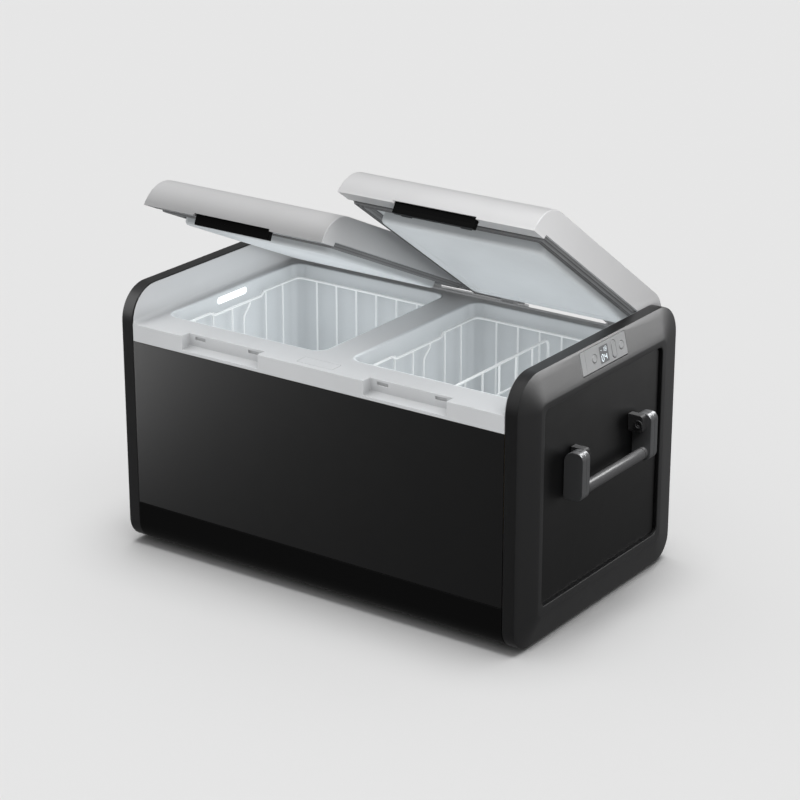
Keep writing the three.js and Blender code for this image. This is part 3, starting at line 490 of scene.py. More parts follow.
def end_cap_ring(x, share, inset=0.0):
    """Outline of an end cap at x; share is 0 on the square band and 1 on the flat face."""
    def mixed(square, face):
        return square + (face - square) * share

    reach = HALF_D - mixed(0, BEVEL) - inset
    low = FOOT_H + mixed(0, BEVEL_LOW) + inset
    high = BODY_H - mixed(0, BEVEL) - inset
    bottom = max(mixed(CORNER_BOTTOM, FACE_R) - inset, 1)
    top = max(mixed(CORNER_TOP, FACE_R) - inset, 1)
    outline = rounded((-reach, low), (reach, high), (bottom, top, top, bottom), CAP_STEPS)
    return placed("x", outline, x)


def window_ring(x, grow, radius):
    margin = WINDOW_MARGIN + grow
    low = (PANEL_LOW.y - margin, PANEL_LOW.z - margin)
    high = (PANEL_HIGH.y + margin, PANEL_HIGH.z + margin)
    return placed("x", rounded(low, high, radius, CAP_STEPS), x)


def end_cap(side):
    """A hollow cap with a square band, a wide bevel and a recess; the right one has the control slot."""
    run = HALF_W - CAP_IN - RIM_BAND
    edge = 1.6  # rounding of the inner rim
    soft = 0.09  # share of the bevel taken by the rounding at each of its ends
    seat = CAP_IN + RIM_BAND
    occlusion_probe = CAP_IN + RIM_BAND - CAP_WALL
    rings = [end_cap_ring(occlusion_probe, 0, CAP_WALL), end_cap_ring(CAP_IN, 0, CAP_WALL)]
    rings += [end_cap_ring(CAP_IN + edge * (1 - cos(a)), 0, edge * (1 - sin(a)))
              for a in (pi * k / 8 for k in range(5))]
    rings += [end_cap_ring(seat - run * soft, 0), end_cap_ring(seat - run * soft * 0.3, 0.004)]
    rings += [end_cap_ring(seat + run * t, t) for t in (soft, 0.3, 0.5, 0.7, 1 - soft)]
    rings += [end_cap_ring(HALF_W - 0.25, 0.998, 0.6), end_cap_ring(HALF_W, 1, 1.8)]
    rings += [window_ring(HALF_W, 2.4, WINDOW_R + 2.4), window_ring(HALF_W - 0.7, 0.7, WINDOW_R + 0.7)]
    rings += [window_ring(HALF_W - 2.4, 0, WINDOW_R), window_ring(HALF_W - RECESS, 0, WINDOW_R)]
    cap = loft(rings)
    if side == "right":
        slot = prism("z", rounded((-SLOT_HALF[0], -SLOT_HALF[1]), SLOT_HALF, 3), -6, 9)
        bmesh.ops.transform(slot, matrix=PANEL_PLACE, verts=slot.verts)
        cap = combined(cap, [slot])
    piece(f"{side}_cap_moulding", for_side(cap, side), BLACK_PLASTIC, "cabinet", (f"{side}_end_cap",),
          smooth=28)


def end_panel(side):
    gap = 3  # between the sheet and the recess
    grow = Vector((WINDOW_MARGIN - gap,) * 2)
    outline = rounded(PANEL_LOW.yz - grow, PANEL_HIGH.yz + grow, WINDOW_R - gap)
    shape = prism("x", outline, PANEL_LOW.x, PANEL_HIGH.x)
    shape = bevelled(shape, 0.7, 2)
    piece(f"{side}_end_sheet", for_side(shape, side), BLACK_PAINT, "cabinet", (f"{side}_end_panel",))


# ---- Casing ----
def casing():
    front = bevelled(block(FRONT_LOW, FRONT_HIGH), 0.55, 2)
    piece("front_sheet", front, BLACK_PAINT, "cabinet", ("front_panel",))
    rear = bevelled(from_node("rear_panel"), 0.3, 1)
    piece("rear_sheet", rear, BLACK_PAINT, "cabinet", ("rear_panel",))
    steps, wall, edge = 20, 3, 0.8
    turn_y, turn_z = HALF_D - CORNER_BOTTOM, FOOT_H + CORNER_BOTTOM
    outer = [(HALF_D, TRAY_TOP - edge), (HALF_D - edge, TRAY_TOP), (HALF_D - wall, TRAY_TOP)]
    outer += arc(turn_y, turn_z, CORNER_BOTTOM - wall, 0, -90, steps)
    outer += arc(-turn_y, turn_z, CORNER_BOTTOM - wall, 270, 180, steps)
    outer += [(-HALF_D + wall, TRAY_TOP), (-HALF_D + edge, TRAY_TOP), (-HALF_D, TRAY_TOP - edge)]
    outer += arc(-turn_y, turn_z, CORNER_BOTTOM, 180, 270, steps)
    outer += arc(turn_y, turn_z, CORNER_BOTTOM, -90, 0, steps)
    tray = prism("x", outer, -MID, MID)
    piece("base_moulding", tray, TRAY_BLACK, "cabinet", ("base_tray",))


def foot(side):
    low, high = span("right_foot_strip")
    shape = prism("z", rounded(low.xy, high.xy, 12), low.z, high.z)
    shape = bevelled(shape, 1, 2)
    piece(f"{side}_foot", for_side(shape, side), RUBBER, "cabinet", (f"{side}_foot_strip",))


# ---- Top frame and compartments ----
def top_frame():
    """The pale rim, with backs behind its hook slots and a low kerb along its rear edge."""
    shape = from_node("top_frame")

    def at_opening(edge):
        return all(
            abs(v.co.z - RIM_Z) < 0.05 and WELL_X[0] - 3 < abs(v.co.x) < WELL_X[1] + 3
            and WELL_Y[0] - 3 < v.co.y < WELL_Y[1] + 3 for v in edge.verts)

    shape = bevelled(shape, 3, 3, pick=at_opening)
    shape = bevelled(shape, 0.5, 1, limit=50, pick=lambda e: e.calc_length() > 1.5)
    backs = [block((way * LID_X + hook - 13, -224, 399.5), (way * LID_X + hook + 13, -222.5, 409.4))
             for way in (-1, 1) for hook in (-HOOK_X, HOOK_X)]
    kerb = bevelled(block((-MID + 12, 208.8, RIM_Z - 2), (MID - 12, 210.2, RIM_Z + 3.6)), 0.4, 1)
    piece("rim_moulding", gathered(shape, *backs, kerb), PALE, "cabinet", ("top_frame",))
    low, high = span("centre_tab")
    tab = bevelled(prism("z", rounded(low.xy, high.xy, 2), low.z, high.z), 0.4, 2)
    piece("rim_tab", tab, PALE, "cabinet", ("centre_tab",))


def well_ring(z, grow, far=None, steps=10):
    far = WELL_X[1] if far is None else far
    return placed("z", rounded((WELL_X[0] - grow, WELL_Y[0] - grow), (far + grow, WELL_Y[1] + grow),
                               max(WELL_R + grow, 1), steps), z)


def well(grow, floor, far=None, lip=None):
    """A compartment's volume, grown outwards, with its floor rounded into its walls.

    lip is a list of (height, growth) that the top edge follows; without it the walls end under the rim.
    """
    turns = [pi / 2 * k / 6 for k in range(7)]
    reach = WELL_FILLET + grow
    rings = [well_ring(floor - grow + reach * (1 - sin(a)), grow - reach * (1 - cos(a)), far)
             for a in reversed(turns)]
    ends = [(RIM_Z - 60, grow)] if lip is None else lip
    return loft(rings + [well_ring(z, wider, far) for z, wider in ends])


def liners():
    """Thin open boxes, each with its edge rolled over the rim; the right one has a raised floor."""
    curl = 3.2
    top = RIM_Z + 0.1
    turns = [pi / 2 * k / 5 for k in range(6)]
    outer_lip = [(top - curl - 1, LINER_T), (top - 1, curl + 1.5), (top, curl + 1.5)]
    inner_lip = [(top - curl + curl * sin(a), curl * (1 - cos(a))) for a in turns] + [(top + 1, curl)]
    left = combined(well(LINER_T, WELL_FLOOR, lip=outer_lip), [well(0, WELL_FLOOR, lip=inner_lip)])
    piece("left_compartment", mirrored(left), LINER, "cabinet", ("left_liner",))
    outside = combined(well(LINER_T, STEP_Z, lip=outer_lip), [well(LINER_T, WELL_FLOOR, STEP_X)], "UNION")
    inside = combined(well(0, STEP_Z, lip=inner_lip), [well(0, WELL_FLOOR, STEP_X)], "UNION")
    right = combined(outside, [inside])
    piece("right_compartment", right, LINER, "cabinet", ("right_liner",))


def lamp(side):
    outline = rounded((LAMP_Y[0], LAMP_Z[0]), (LAMP_Y[1], LAMP_Z[1]), (LAMP_Z[1] - LAMP_Z[0]) / 2 - 0.01, 10)
    shape = bevelled(prism("x", outline, WELL_X[1] - 0.5, WELL_X[1] + 5), 0.8, 2, limit=60)
    piece(f"{side}_lamp_lens", for_side(shape, side), LAMP, "cabinet", (f"{side}_lamp",))


# ---- Lids, drawn closed ----
def lid_turn(side):
    """From closed to the rest position of a lid."""
    joint = JOINTS[f"{side}_lid_hinge"]
    pivot = Vector(joint["pos_m"]) * 1000
    opening = Matrix.Rotation(radians(joint["range_deg"][0]), 4, "X")
    return Matrix.Translation(pivot) @ opening @ Matrix.Translation(-pivot)


def arc_angle(radius, z):
    return degrees(asin((z - ARC_Z) / radius))


def lid_outline():
    low = arc_angle(LID_R, SKIRT_Z)
    top = arc(ARC_Y, ARC_Z, LID_R, low, 90, 26) + arc(-ARC_Y, ARC_Z, LID_R, 90, 180 - low, 26)
    step = SKIRT_Y - 2
    return top + [(-SKIRT_Y, SKIRT_Z), (-step, LID_EDGE_Z), (step, LID_EDGE_Z), (SKIRT_Y, SKIRT_Z)]


def cavity_outline():
    radius = LID_R - 3
    heel, toe = HINGE_Z + 19, HINGE_Z
    return ([(CAVITY_Y, LID_EDGE_Z - 5), (CAVITY_Y, heel)]
            + arc(ARC_Y, ARC_Z, radius, arc_angle(radius, heel), 90, 8)
            + arc(-ARC_Y, ARC_Z, radius, 90, 180 - arc_angle(radius, toe), 10)
            + [(-CAVITY_Y, toe), (-CAVITY_Y, LID_EDGE_Z - 5)])


def lid_shell():
    half = LID_HALF
    body = prism("x", lid_outline(), -half, half)

    def on_rounded_end(edge):
        first, second = (v.co for v in edge.verts)
        at_end = abs(abs(first.x) - half) < 0.01 and abs(first.x - second.x) < 0.01
        return at_end and min(first.z, second.z) > LID_EDGE_Z + 0.1

    body = bevelled(body, 1.4, 3, limit=60, pick=on_rounded_end)
    tools = [
        prism("x", cavity_outline(), -half + 3, half - 3),
        block((-LATCH_HALF - 1, LATCH_Y - 6.5, 400), (LATCH_HALF + 1, LATCH_Y + 7, LATCH_Z + 8.5)),
        block((-LATCH_HALF - 2, -HALF_D - 1, 399), (LATCH_HALF + 2, LATCH_Y, LATCH_Z + 2)),
        block((-POCKET_HALF - 2, SKIRT_Y - 5, 401), (POCKET_HALF + 2, HALF_D + 1, LID_EDGE_Z)),
    ]
    for way in (-1, 1):
        ends = sorted((way * (LUG_X[0] - 1), way * (LUG_X[1] + 1)))
        tools.append(block((ends[0], HINGE_Y - 14, 402), (ends[1], HALF_D + 2, HINGE_Z + 16)))
    return combined(body, tools)


def lid_ring(x_inset, y_inset, z, radius=4):
    low = (-LID_HALF + 3.3 + x_inset, -CAVITY_Y + 0.3 + y_inset)
    return placed("z", rounded(low, (-low[0], -low[1]), max(radius, 0.5), 6), z)


def gasket():
    """A ribbed rubber section swept round the lid's edge: ridges on a flat back."""
    back, valley, crest = LID_EDGE_Z - 1.2, LID_EDGE_Z - 5.5, LID_EDGE_Z - 10
    section = [(0.0, back), (0.0, valley)]
    for ridge in range(RIBS):
        start = RIB_START + ridge * RIB_PITCH
        section += [(start, valley), (start + 0.6, crest + 1), (start + 1.2, crest), (start + 2.6, crest),
                    (start + 3.2, crest + 1), (start + 3.8, valley)]
    width = RIBS * RIB_PITCH + 1.4
    section += [(width, valley), (width, back)]
    return loft([lid_ring(inset, inset, z) for inset, z in section], closed=True)


def plug_ring(inset, z):
    """Outline of the panel that drops into a compartment, inset from its own edge."""
    low = (WELL_X[0] + 8 - LID_X + inset, WELL_Y[0] + 8 + inset)
    high = (WELL_X[1] - 8 - LID_X - inset, WELL_Y[1] - 8 - inset)
    return placed("z", rounded(low, high, max(WELL_R - 4 - inset, 2), 10), z)


def lid_panel():
    """The lid's inner moulding: a flange, and a rounded plug that drops into the compartment."""
    flange = prism("z", rounded((-LID_HALF + 3.3, -CAVITY_Y + 0.3), (LID_HALF - 3.3, CAVITY_Y - 0.3), 4),
                   LID_EDGE_Z - 0.7, LID_EDGE_Z + 2)
    turns = [pi / 2 * k / 5 for k in range(6)]
    fillet = 7
    rings = [plug_ring(-3, LID_EDGE_Z - 0.5), plug_ring(-1.2, LID_EDGE_Z - 1.8), plug_ring(0, LID_EDGE_Z - 4)]
    rings += [plug_ring(fillet * (1 - cos(a)), PANEL_Z + fillet * (1 - sin(a))) for a in turns]
    rings += [plug_ring(26, PANEL_Z), plug_ring(26.8, PANEL_Z + 0.5), plug_ring(28, PANEL_Z + 0.8)]
    return gathered(flange, loft(rings))


def latch():
    """A black bar with a finger groove and two hooks behind it."""
    half, low = 5, 403
    front, turn = LATCH_Y - half, half - 0.01
    outline = rounded((front, low), (LATCH_Y + half, LATCH_Z + half), (1, turn, turn, 1), 8)
    bar = bevelled(prism("x", outline, -LATCH_HALF, LATCH_HALF), 1.2, 3, limit=60)
    groove = block((-LATCH_HALF + 6, front - 1, low + 9), (LATCH_HALF - 6, front + 0.6, low + 10))
    bar = combined(bar, [groove])
    hooks = [bevelled(block((x - 10, LATCH_Y, low + 0.3), (x + 10, -225.6, low + 3.4)), 0.6, 2)
             for x in (-HOOK_X, HOOK_X)]
    return gathered(bar, *hooks)


def lid(side):
    turn = lid_turn(side) @ Matrix.Translation((SIDES[side] * LID_X, 0, 0))
    body = f"{side}_lid"
    parts = (
        ("lid_moulding", lid_shell(), LID_PAINT, body, "lid_shell", "pale_plastic"),
        ("lid_seal", gasket(), GASKET, body, "lid_gasket", "rubber"),
        ("lid_panel", lid_panel(), LINER, body, "lid_liner", "liner_plastic"),
        ("latch_bar", latch(), LATCH_BLACK, f"{side}_latch", "latch_handle", "black_plastic"),
    )
    for name, shape, look, rides_on, node, slot in parts:
        piece(f"{side}_{name}", for_side(shape, side), look, rides_on, (f"{side}_{node}",), turn)


# ---- Handles, drawn at the right-hand end ----
HANDLE_X, HANDLE_Z = (1000 * JOINTS["right_handle_pivot"]["pos_m"][k] for k in (0, 2))
ARM_LOW, ARM_HIGH = span("right_handle_rear_arm")
GRIP_LOW, GRIP_HIGH = span("right_handle_grip")


def arm(side, place):
    """Two rounded plates side by side, with a fine groove between them along the outer edge."""
    outline = rounded((ARM_LOW.x, ARM_LOW.z), (ARM_HIGH.x, ARM_HIGH.z), (14, 12, 19, 6), 12)
    middle = (ARM_LOW.y + ARM_HIGH.y) / 2
    plates = [bevelled(prism("y", outline, *ends), 1.3, 3, limit=60)
              for ends in ((ARM_LOW.y, middle), (middle, ARM_HIGH.y))]
    core = rounded((ARM_LOW.x + 1, ARM_LOW.z + 1), (ARM_HIGH.x - 1, ARM_HIGH.z - 1), (13, 11, 18, 5), 12)
    shape = gathered(*plates, prism("y", core, ARM_LOW.y + 3, ARM_HIGH.y - 3))
    if place == "front":
        bmesh.ops.scale(shape, vec=(1, -1, 1), verts=shape.verts)
        bmesh.ops.reverse_faces(shape, faces=shape.faces)
    piece(f"{side}_handle_{place}_plate", for_side(shape, side), ANODISED, f"{side}_handle",
          (f"{side}_handle_{place}_arm",))


def mount(side, place):
    """The block that an arm turns on, with a stepped pivot boss that has a shallow round socket, and a pin.
    """
    low, high = span(f"right_handle_{place}_mount")
    way = -1 if place == "front" else 1
    inner = low.y if way > 0 else high.y
    outer = inner + way * 13.7
    ends = sorted((inner, outer))
    outline = rounded((low.x, HANDLE_Z - 15), (HANDLE_X + 7, HANDLE_Z + 15), (6, 6, 1, 1), 8)
    body = bevelled(prism("y", outline, *ends), 1, 2, limit=50)
    profile = [(0, 6.6), (0.8, 7), (2.4, 7), (2.4, 5.6), (1.4, 5.4), (1.4, 2.6), (0.2, 2.4)]
    boss = lathe(profile, (HANDLE_X, inner, HANDLE_Z), (0, -way, 0), 24)
    pin = lathe([(0, 4), (11.5, 4), (12, 3.5)], (HANDLE_X, outer - way * 1, HANDLE_Z), (0, way, 0), 20)
    piece(f"{side}_handle_{place}_block", for_side(gathered(body, boss, pin), side), MOUNT_BLACK, "cabinet",
          (f"{side}_handle_{place}_mount",))


def grip(side):
    """A round bar with a fine collar at each end."""
    radius = (GRIP_HIGH.z - GRIP_LOW.z) / 2
    length = GRIP_HIGH.y - GRIP_LOW.y
    collar = 7
    profile = [(0, radius - 0.8), (0.5, radius), (collar, radius), (collar + 0.5, radius - 0.8),
               (collar + 1.5, radius - 0.8), (collar + 2, radius)]
    profile += [(length - along, width) for along, width in reversed(profile)]
    centre = ((GRIP_LOW.x + GRIP_HIGH.x) / 2, GRIP_LOW.y, (GRIP_LOW.z + GRIP_HIGH.z) / 2)
    shape = lathe(profile, centre, (0, 1, 0), 48)
    piece(f"{side}_handle_bar", for_side(shape, side), GRIP, f"{side}_handle", (f"{side}_handle_grip",))


# ---- Control panel ----
def panel_place():
    """From the panel's own plane (x along the cooler's depth, y up the bevel) to the frame."""
    run = HALF_W - CAP_IN - RIM_BAND
    outward = Vector((BEVEL, 0, run)).normalized()
    along = Vector((0, 1, 0))
    up = outward.cross(along)
    height = 448
    turn = Matrix((along, up, outward)).transposed().to_4x4()
    return Matrix.Translation((CAP_IN + RIM_BAND + run * (BODY_H - height) / BEVEL, 0, height)) @ turn


PANEL_PLACE = panel_place()
SLOT_HALF = (70.6, 20.6)
PLATE_HALF = (69.4, 19)
BUTTONS, BUTTON_R = {"power": -30, "menu": 54}, 6.2
DISPLAY_X, DISPLAY_HALF = (-14, 13), 14.3
ROCKER_X, ROCKER_HALF, ROCKER_WIDE = 30, 13.8, 5.8
PROUD = 0.6


def control_panel():
    """The metal plate with its holes, the display window, two round keys and the rocker."""
    gap, under, seat = 1.7, -6, -4.2

    def rocker_outline(grow):
        wide, tall = ROCKER_WIDE + grow, ROCKER_HALF + grow
        return rounded((ROCKER_X - wide, -tall), (ROCKER_X + wide, tall), wide - 0.01)

    def display_outline(inset):
        tall = DISPLAY_HALF - inset
        return rounded((DISPLAY_X[0] + inset, -tall), (DISPLAY_X[1] - inset, tall), 2)

    wide, tall = PLATE_HALF
    plate = prism("z", rounded((-wide, -tall), (wide, tall + 0.6), 2), -5, PROUD)
    holes = [prism("z", disc(x, 0, BUTTON_R + gap), under, 3) for x in BUTTONS.values()]
    holes.append(prism("z", display_outline(0), under, 4))
    holes.append(prism("z", rocker_outline(gap), under, 5))
    holes.append(block((-57, -21, PROUD - 0.5), (-56.2, 21, 6)))
    plate = combined(bevelled(plate, 0.6, 2, limit=60), holes)
    piece("control_plate", plate, BEZEL, "cabinet", ("control_bezel",), PANEL_PLACE)
    window = bevelled(prism("z", display_outline(0.1), -4.4, PROUD - 0.2), 0.3, 2, limit=60)
    piece("display_pane", window, GLASS, "cabinet", ("display_window",), PANEL_PLACE)
    for name, x in BUTTONS.items():
        profile = [(0, BUTTON_R), (4.6, BUTTON_R), (5.2, 5.6), (5.2, 4.9), (4.9, 4.2), (4.75, 0.4)]
        key = lathe(profile, (x, 0, seat), (0, 0, 1), 32)
        piece(f"{name}_key_cap", key, KEYS, f"{name}_key", (f"{name}_button",), PANEL_PLACE)
    rocker = bevelled(prism("z", rocker_outline(0), seat, PROUD + 0.7), 0.8, 3, limit=60)
    piece("rocker_key_cap", rocker, KEYS, "rocker_key", ("rocker_button",), PANEL_PLACE)


SEGMENTS = {"0": "abcdef", "1": "bc", "4": "fgbc", "8": "abcdefg", "-": "g"}


def digit(character, x, y, width, height, stroke):
    """A seven-segment figure, its lower left corner at x, y."""
    half, right, top_bar = height / 2, width - stroke, height - stroke
    bars = {
        "a": (stroke, top_bar, right, height),
        "b": (right, half, width, top_bar),
        "c": (right, stroke, width, half),
        "d": (stroke, 0, right, stroke),
        "e": (0, stroke, stroke, half),
        "f": (0, half, stroke, top_bar),
        "g": (stroke, half - stroke / 2, right, half + stroke / 2),
    }
    top = PROUD - 0.2
    gap = 0.15
    return [block((x + u0 + gap, y + v0 + gap, top - 0.2), (x + u1 - gap, y + v1 - gap, top + 0.12))
            for u0, v0, u1, v1 in (bars[s] for s in SEGMENTS[character])]


def readout():
    """Set and measured temperatures."""
    bars = []
    for k, character in enumerate("-18"):
        bars += digit(character, DISPLAY_X[0] + 3.5 + k * 7, 3.2, 5.2, 8.6, 1.2)
    for k, character in enumerate("04"):
        bars += digit(character, DISPLAY_X[0] + 4.5 + k * 9.5, -11.6, 7.6, 12.4, 1.8)
    piece("readout", gathered(*bars), DIGITS, "cabinet", (), PANEL_PLACE)


# ---- Baskets ----
RIM_WIRE = 2.5
THIN_WIRE = 1.8
GRAB_HALF = 67
GRAB_DIP = 5
GRAB_LEAN = 3


def rim_path(low, high, top):
    """The rim of a basket, dipping and leaning in over the grab section of each end."""
    corner = 15
    reach = corner * 2

    def end(x, way):
        ramp = 9
        points = [(-GRAB_HALF - ramp, 0), (-GRAB_HALF, 1), (GRAB_HALF, 1), (GRAB_HALF + ramp, 0)]
        return [Vector((x - way * share * GRAB_LEAN, way * y, top - GRAB_DIP * share)) for y, share in points]

    path = filleted([(low.x + reach, low.y, top), (high.x, low.y, top), (high.x, low.y + reach, top)], corner)
    path += filleted(end(high.x, 1), 4)
    path += filleted([(high.x, high.y - reach, top), (high.x, high.y, top), (low.x, high.y, top),
                      (low.x, high.y - reach, top)], corner)
    path += filleted(end(low.x, -1), 4)
    last = [(low.x, low.y + reach, top), (low.x, low.y, top), (low.x + corner * 2.01, low.y, top)]
    return path + filleted(last, corner)[:-1]


def spread(low, high, pitch):
    """Even places between two ends, about a pitch apart."""
    count = max(1, round((high - low) / pitch) - 1)
    return [low + (high - low) * (k + 1) / (count + 1) for k in range(count)]


def basket_wires(node, step=None):
    """A wire basket in the space of its CAD tray. step is (x, z) of a raised floor beyond x.

    Beside the grab sections the wires along X have a kink: they rise a little to one side of their floor run.
    """
    low, high = span(node)
    inner_low = low + Vector((RIM_WIRE, RIM_WIRE, THIN_WIRE))
    inner_high = high - Vector((RIM_WIRE, RIM_WIRE, RIM_WIRE))
    top = inner_high.z
    wires = [wire(rim_path(inner_low, inner_high, top), RIM_WIRE, 10, closed=True)]
    for x in spread(low.x, high.x, 44):
        floor = step[1] + THIN_WIRE if step and x > step[0] else inner_low.z
        wires.append(wire(filleted([(x, inner_low.y, top), (x, inner_low.y, floor), (x, inner_high.y, floor),
                                    (x, inner_high.y, top)], 12), THIN_WIRE))
    for y in spread(low.y, high.y, 52):
        in_grab = abs(y) < GRAB_HALF
        kinked = in_grab and abs(y) > 20
        rim = top - (GRAB_DIP if in_grab else 0)
        lean = GRAB_LEAN if in_grab else 0
        shift = y - 14 if kinked else y
        base = inner_low.z + THIN_WIRE * 2  # these cross over the others on the floor
        first, last = inner_low.x, inner_high.x
        path = [(first + lean, y, rim)]
        if kinked:
            path += [(first + lean, y, rim - 8), (first, shift, rim - 26)]
        path.append((first, shift, base))
        if step:
            riser, base = step[0] - THIN_WIRE, step[1] + THIN_WIRE * 3
            path += [(riser, shift, inner_low.z + THIN_WIRE * 2), (riser, shift, base)]
        path.append((last, shift, base))
        if kinked:
            path += [(last, shift, rim - 26), (last - lean, y, rim - 8)]
        path.append((last - lean, y, rim))
        wires.append(wire(filleted(path, 9), THIN_WIRE))
    for z in (inner_low.z + 70, inner_low.z + 140):
        far = step[0] - THIN_WIRE if step else inner_high.x
        loop = filleted([(inner_low.x, inner_low.y, z), (far, inner_low.y, z), (far, inner_high.y, z),
                         (inner_low.x, inner_high.y, z)], 15, closed=True)
        wires.append(wire(loop, THIN_WIRE, closed=True))
    return wires


def baskets():
    """Two wire baskets, and the fence that stands in the right one."""
    left = gathered(*basket_wires("left_basket"))
    piece("left_wire_basket", left, WIRE, "left_basket_body", ("left_basket",))
    right = gathered(*basket_wires("right_basket", (198, 275)))
    piece("right_wire_basket", right, WIRE, "right_basket_body", ("right_basket",))
    low, high = span("basket_divider")
    x = (low.x + high.x) / 2
    foot_z, top = low.z + THIN_WIRE, high.z - RIM_WIRE
    middle = (foot_z + top) / 2
    corners = [(x, low.y, foot_z), (x, low.y, top), (x, high.y, top), (x, high.y, foot_z)]
    bars = [wire(filleted(corners, 14, closed=True), RIM_WIRE, 10, closed=True)]
    for y in spread(low.y, high.y, 48):
        bars.append(wire([(x, y, foot_z), (x, y, top)], THIN_WIRE))
    bars.append(wire([(x, low.y, middle), (x, high.y, middle)], THIN_WIRE))
    piece("wire_fence", gathered(*bars), WIRE, "divider_body", ("basket_divider",))


# ---- Pieces whose CAD shape stays, with softened edges ----
def softened():
    """CAD shapes that only need softer edges and their material."""
    plan = (
        ("compressor", POT, "cabinet", 1.0),
        ("mounting_plate", STEEL, "cabinet", 0.4),
        ("fan_shroud", BLACK_PLASTIC, "cabinet", 0.6),
        ("control_module", CIRCUIT_BOX, "cabinet", 0.5),
        ("power_inlet", BLACK_PLASTIC, "cabinet", 0.6),
        ("left_drain_plug", RUBBER, "left_drain", 0.8),
        ("right_drain_plug", RUBBER, "right_drain", 0.8),
        ("fan_impeller", BLACK_PLASTIC, "fan", 0.3),
        ("left_hinge_pin", STEEL, "left_lid", 0.3),
        ("right_hinge_pin", STEEL, "right_lid", 0.3),
    )
    for node, look, body, width in plan:
        piece(f"{node}_finished", bevelled(from_node(node), width, 2, limit=40), look, body, (node,))


def kept():
    """CAD nodes that show as they are, with their materials."""
    looks = {"condenser": COIL, "filter_drier": COPPER, "discharge_line": COPPER, "suction_line": COPPER,
             "foam_body": FOAM, "left_lid_foam": FOAM, "right_lid_foam": FOAM, "left_evaporator": COIL,
             "right_evaporator": COIL}
    for node, look in looks.items():
        mesh = frame["nodes"][node].data
        mesh.materials.clear()
        mesh.materials.append(look)


# ---- Studio ----
BACKDROP = 0.79  # brightness of the backdrop that the camera sees
SKY = (0.17, 0.38)  # strength of the soft light at the horizon and high up


def world():
    """Soft white light from above, fading towards the horizon."""
    studio = bpy.data.worlds.new("studio")
    bpy.context.scene.world = studio
    studio.use_nodes = True
    nodes, links = studio.node_tree.nodes, studio.node_tree.links
    place = nodes.new("ShaderNodeTexCoord")
    parts = nodes.new("ShaderNodeSeparateXYZ")
    links.new(place.outputs["Generated"], parts.inputs["Vector"])
    fade = ranged(studio.node_tree, parts.outputs["Z"], *SKY, 0, 0.9)
    seen = nodes.new("ShaderNodeLightPath")
    backdrop = nodes.new("ShaderNodeMix")  # the camera sees a plain pale backdrop
    backdrop.inputs["B"].default_value = BACKDROP
    links.new(seen.outputs["Is Camera Ray"], backdrop.inputs["Factor"])
    links.new(fade, backdrop.inputs["A"])
    links.new(backdrop.outputs["Result"], nodes["Background"].inputs["Strength"])
    nodes["Background"].inputs["Color"].default_value = (1, 1, 1, 1)


def floor():
    """A large pale floor."""
    shape = bmesh.new()
    bmesh.ops.create_grid(shape, x_segments=8, y_segments=8, size=40)
    mesh = bpy.data.meshes.new("floor")
    shape.to_mesh(mesh)
    shape.free()
    ground = bpy.data.objects.new("floor", mesh)
    bpy.context.scene.collection.objects.link(ground)
    ground.location.z = -0.0005
    paint = surface("floor_paint", (0.78, 0.78, 0.78), 0.9, specular=0.0, grain=(200, 0.01), mottle=0.0)
    mesh.materials.append(paint)
    ground.visible_glossy = False
    ground.visible_diffuse = False
    ground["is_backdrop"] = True
    return ground


def aimed_light(name, kind, azimuth, elevation, strength, spread, distance, lit, shadow=True, glossy=True):
    """A light aimed at the cooler from a direction: azimuth 0 is the front, 90 the right-hand end.

    spread is a sun's angle in degrees, or the side of a square panel in metres; lit is the group it reaches.
    """
    data = bpy.data.lights.new(name, kind)
    data.energy = strength
    data.use_shadow = shadow
    if kind == "SUN":
        data.angle = radians(spread)
    elif kind == "AREA":
        data.shape = "SQUARE"
        data.size = spread
    else:
        data.shadow_soft_size = spread
    light = bpy.data.objects.new(name, data)
    bpy.context.scene.collection.objects.link(light)
    light.visible_glossy = glossy
    a, e = radians(azimuth), radians(elevation)
    away = Vector((sin(a) * cos(e), -cos(a) * cos(e), sin(e)))
    light.location = away * distance
    light.rotation_euler = away.to_track_quat("Z", "Y").to_euler()
    light.light_linking.receiver_collection = lit
    return light


GROUPS = ("caps", "sheets", "tray", "handles", "lids", "controls", "inside", "left_lid", "right_lid", "ends",
          "left_cap", "cooler", "floor")
GROUP_OF_LOOK = {
    "black_moulding": "caps", "black_powder_coat": "sheets", "lid_moulding": "lids",
    "tray_moulding": "tray", "foot_rubber": "tray", "latch_moulding": "tray",
    "grip_plastic": "handles", "anodised_arm": "handles", "mount_moulding": "handles",
    "panel_metal": "controls", "key_caps": "controls", "display_glass": "controls",
}
GROUP_OF_PIECE = {"left_cap_moulding": "left_cap", "right_end_sheet": "ends", "left_lid_moulding": "left_lid",
                  "right_lid_moulding": "right_lid"}
HIDDEN_LOOKS = ("insulation_foam", "fin_aluminium", "copper_line", "zinc_plated_steel", "module_casting")


def groups_of(shown):
    """The light groups that a piece belongs to. Pieces deep inside get the soft light of the world only."""
    look = shown.data.materials[0].name
    if look in HIDDEN_LOOKS:
        return set()
    groups = {GROUP_OF_PIECE[shown.name]} if shown.name in GROUP_OF_PIECE else set()
    if "end_sheet" not in shown.name:
        groups.add(GROUP_OF_LOOK.get(look, "inside"))
    if look != "lid_moulding" and not shown.name.startswith("rim_"):
        groups.add("cooler")
    return groups


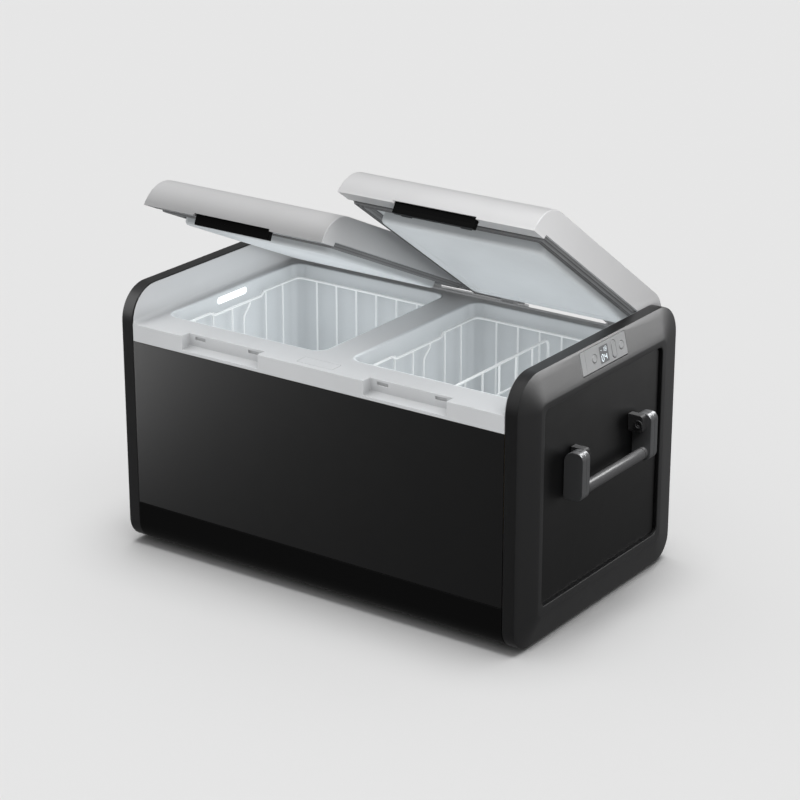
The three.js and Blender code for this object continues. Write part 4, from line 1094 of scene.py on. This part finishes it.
def lights(ground):
    """An overhead soft box, and fills that each reach only some of the pieces."""
    groups = {name: bpy.data.collections.new(name) for name in GROUPS}
    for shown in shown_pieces():
        for name in groups_of(shown):
            groups[name].objects.link(shown)
    groups["floor"].objects.link(ground)
    far = 4
    plan = (
        ("overhead_floor", "SUN", 170, 87, 1.95, 33, far, "floor"),
        ("floor_bounce", "SUN", 0, 90, 0.23, 90, far, "floor"),
        ("overhead_lids", "SUN", 180, 80, 2.1, 50, far, "lids"),
        ("left_cap_fill", "SUN", -60, 25, 1.6, 60, far, "left_cap"),
        ("overhead", "SUN", 20, 82, 2.1, 50, far, "cooler"),
        ("sheet_box", "AREA", -62, 6, 12, 0.6, 1.3, "sheets"),
        ("cap_fill", "SUN", -40, 30, 0.5, 60, far, "caps"),
        ("rear_right_strip", "AREA", 132, 18, 63, 1.1, 2.8, "caps"),
        ("rear_right_soft", "AREA", 140, 4, 15, 1.4, 2.8, "ends"),
        ("handle_fill", "SUN", 75, 52, 5.0, 28, far, "handles"),
        ("handle_rim", "AREA", 172, 42, 30, 1.2, 2, "handles"),
        ("control_fill", "SUN", 70, 40, 2.5, 30, far, "controls"),
        ("right_lid_box", "AREA", 55, 24, 28, 1.0, 2, "right_lid"),
        ("left_lid_fill", "SUN", 92, 6, 1.9, 24, far, "left_lid"),
    )
    for name, kind, azimuth, elevation, strength, spread, distance, group in plan:
        aimed_light(name, kind, azimuth, elevation, strength, spread, distance, groups[group],
                    shadow=name not in ("floor_bounce", "handle_rim"), glossy=name != "right_lid_box")
    fills = ((30, 38, 0.4), (85, 30, 1.5), (-75, 35, 2.1), (15, -65, 1.75), (0, 85, 1.25))
    for number, (azimuth, elevation, strength) in enumerate(fills):
        aimed_light(f"inside_fill_{number}", "SUN", azimuth, elevation, strength, 90, far, groups["inside"],
                    shadow=False, glossy=False)
    for side, strength in (("left", 0.5), ("right", 0.2)):
        glow = aimed_light(f"{side}_lamp_glow", "POINT", 0, 0, strength, 0.12, far, groups["inside"],
                           shadow=False, glossy=False)
        glow.location = (SIDES[side] * LID_X / 1000, -0.03, 0.37)


def camera():
    azimuth, elevation, distance = radians(35.26), radians(20.73), 4.376
    target = Vector((0.0057, 0, 0.2802))
    back = Vector((sin(azimuth) * cos(elevation), -cos(azimuth) * cos(elevation), sin(elevation)))
    data = bpy.data.cameras.new("camera")
    data.sensor_width = 36
    data.lens = 114.5
    data.clip_end = 200
    view = bpy.data.objects.new("camera", data)
    bpy.context.scene.collection.objects.link(view)
    view.location = target + back * distance
    view.rotation_euler = back.to_track_quat("Z", "Y").to_euler()
    bpy.context.scene.camera = view


# ---- Assembly ----
casing()
top_frame()
liners()
control_panel()
readout()
baskets()
softened()
kept()
for end in SIDES:
    end_cap(end)
    end_panel(end)
    foot(end)
    lamp(end)
    lid(end)
    grip(end)
    for where in ("front", "rear"):
        arm(end, where)
        mount(end, where)
ground = floor()
world()
lights(ground)
camera()
bpy.context.scene.view_settings.view_transform = "Standard"
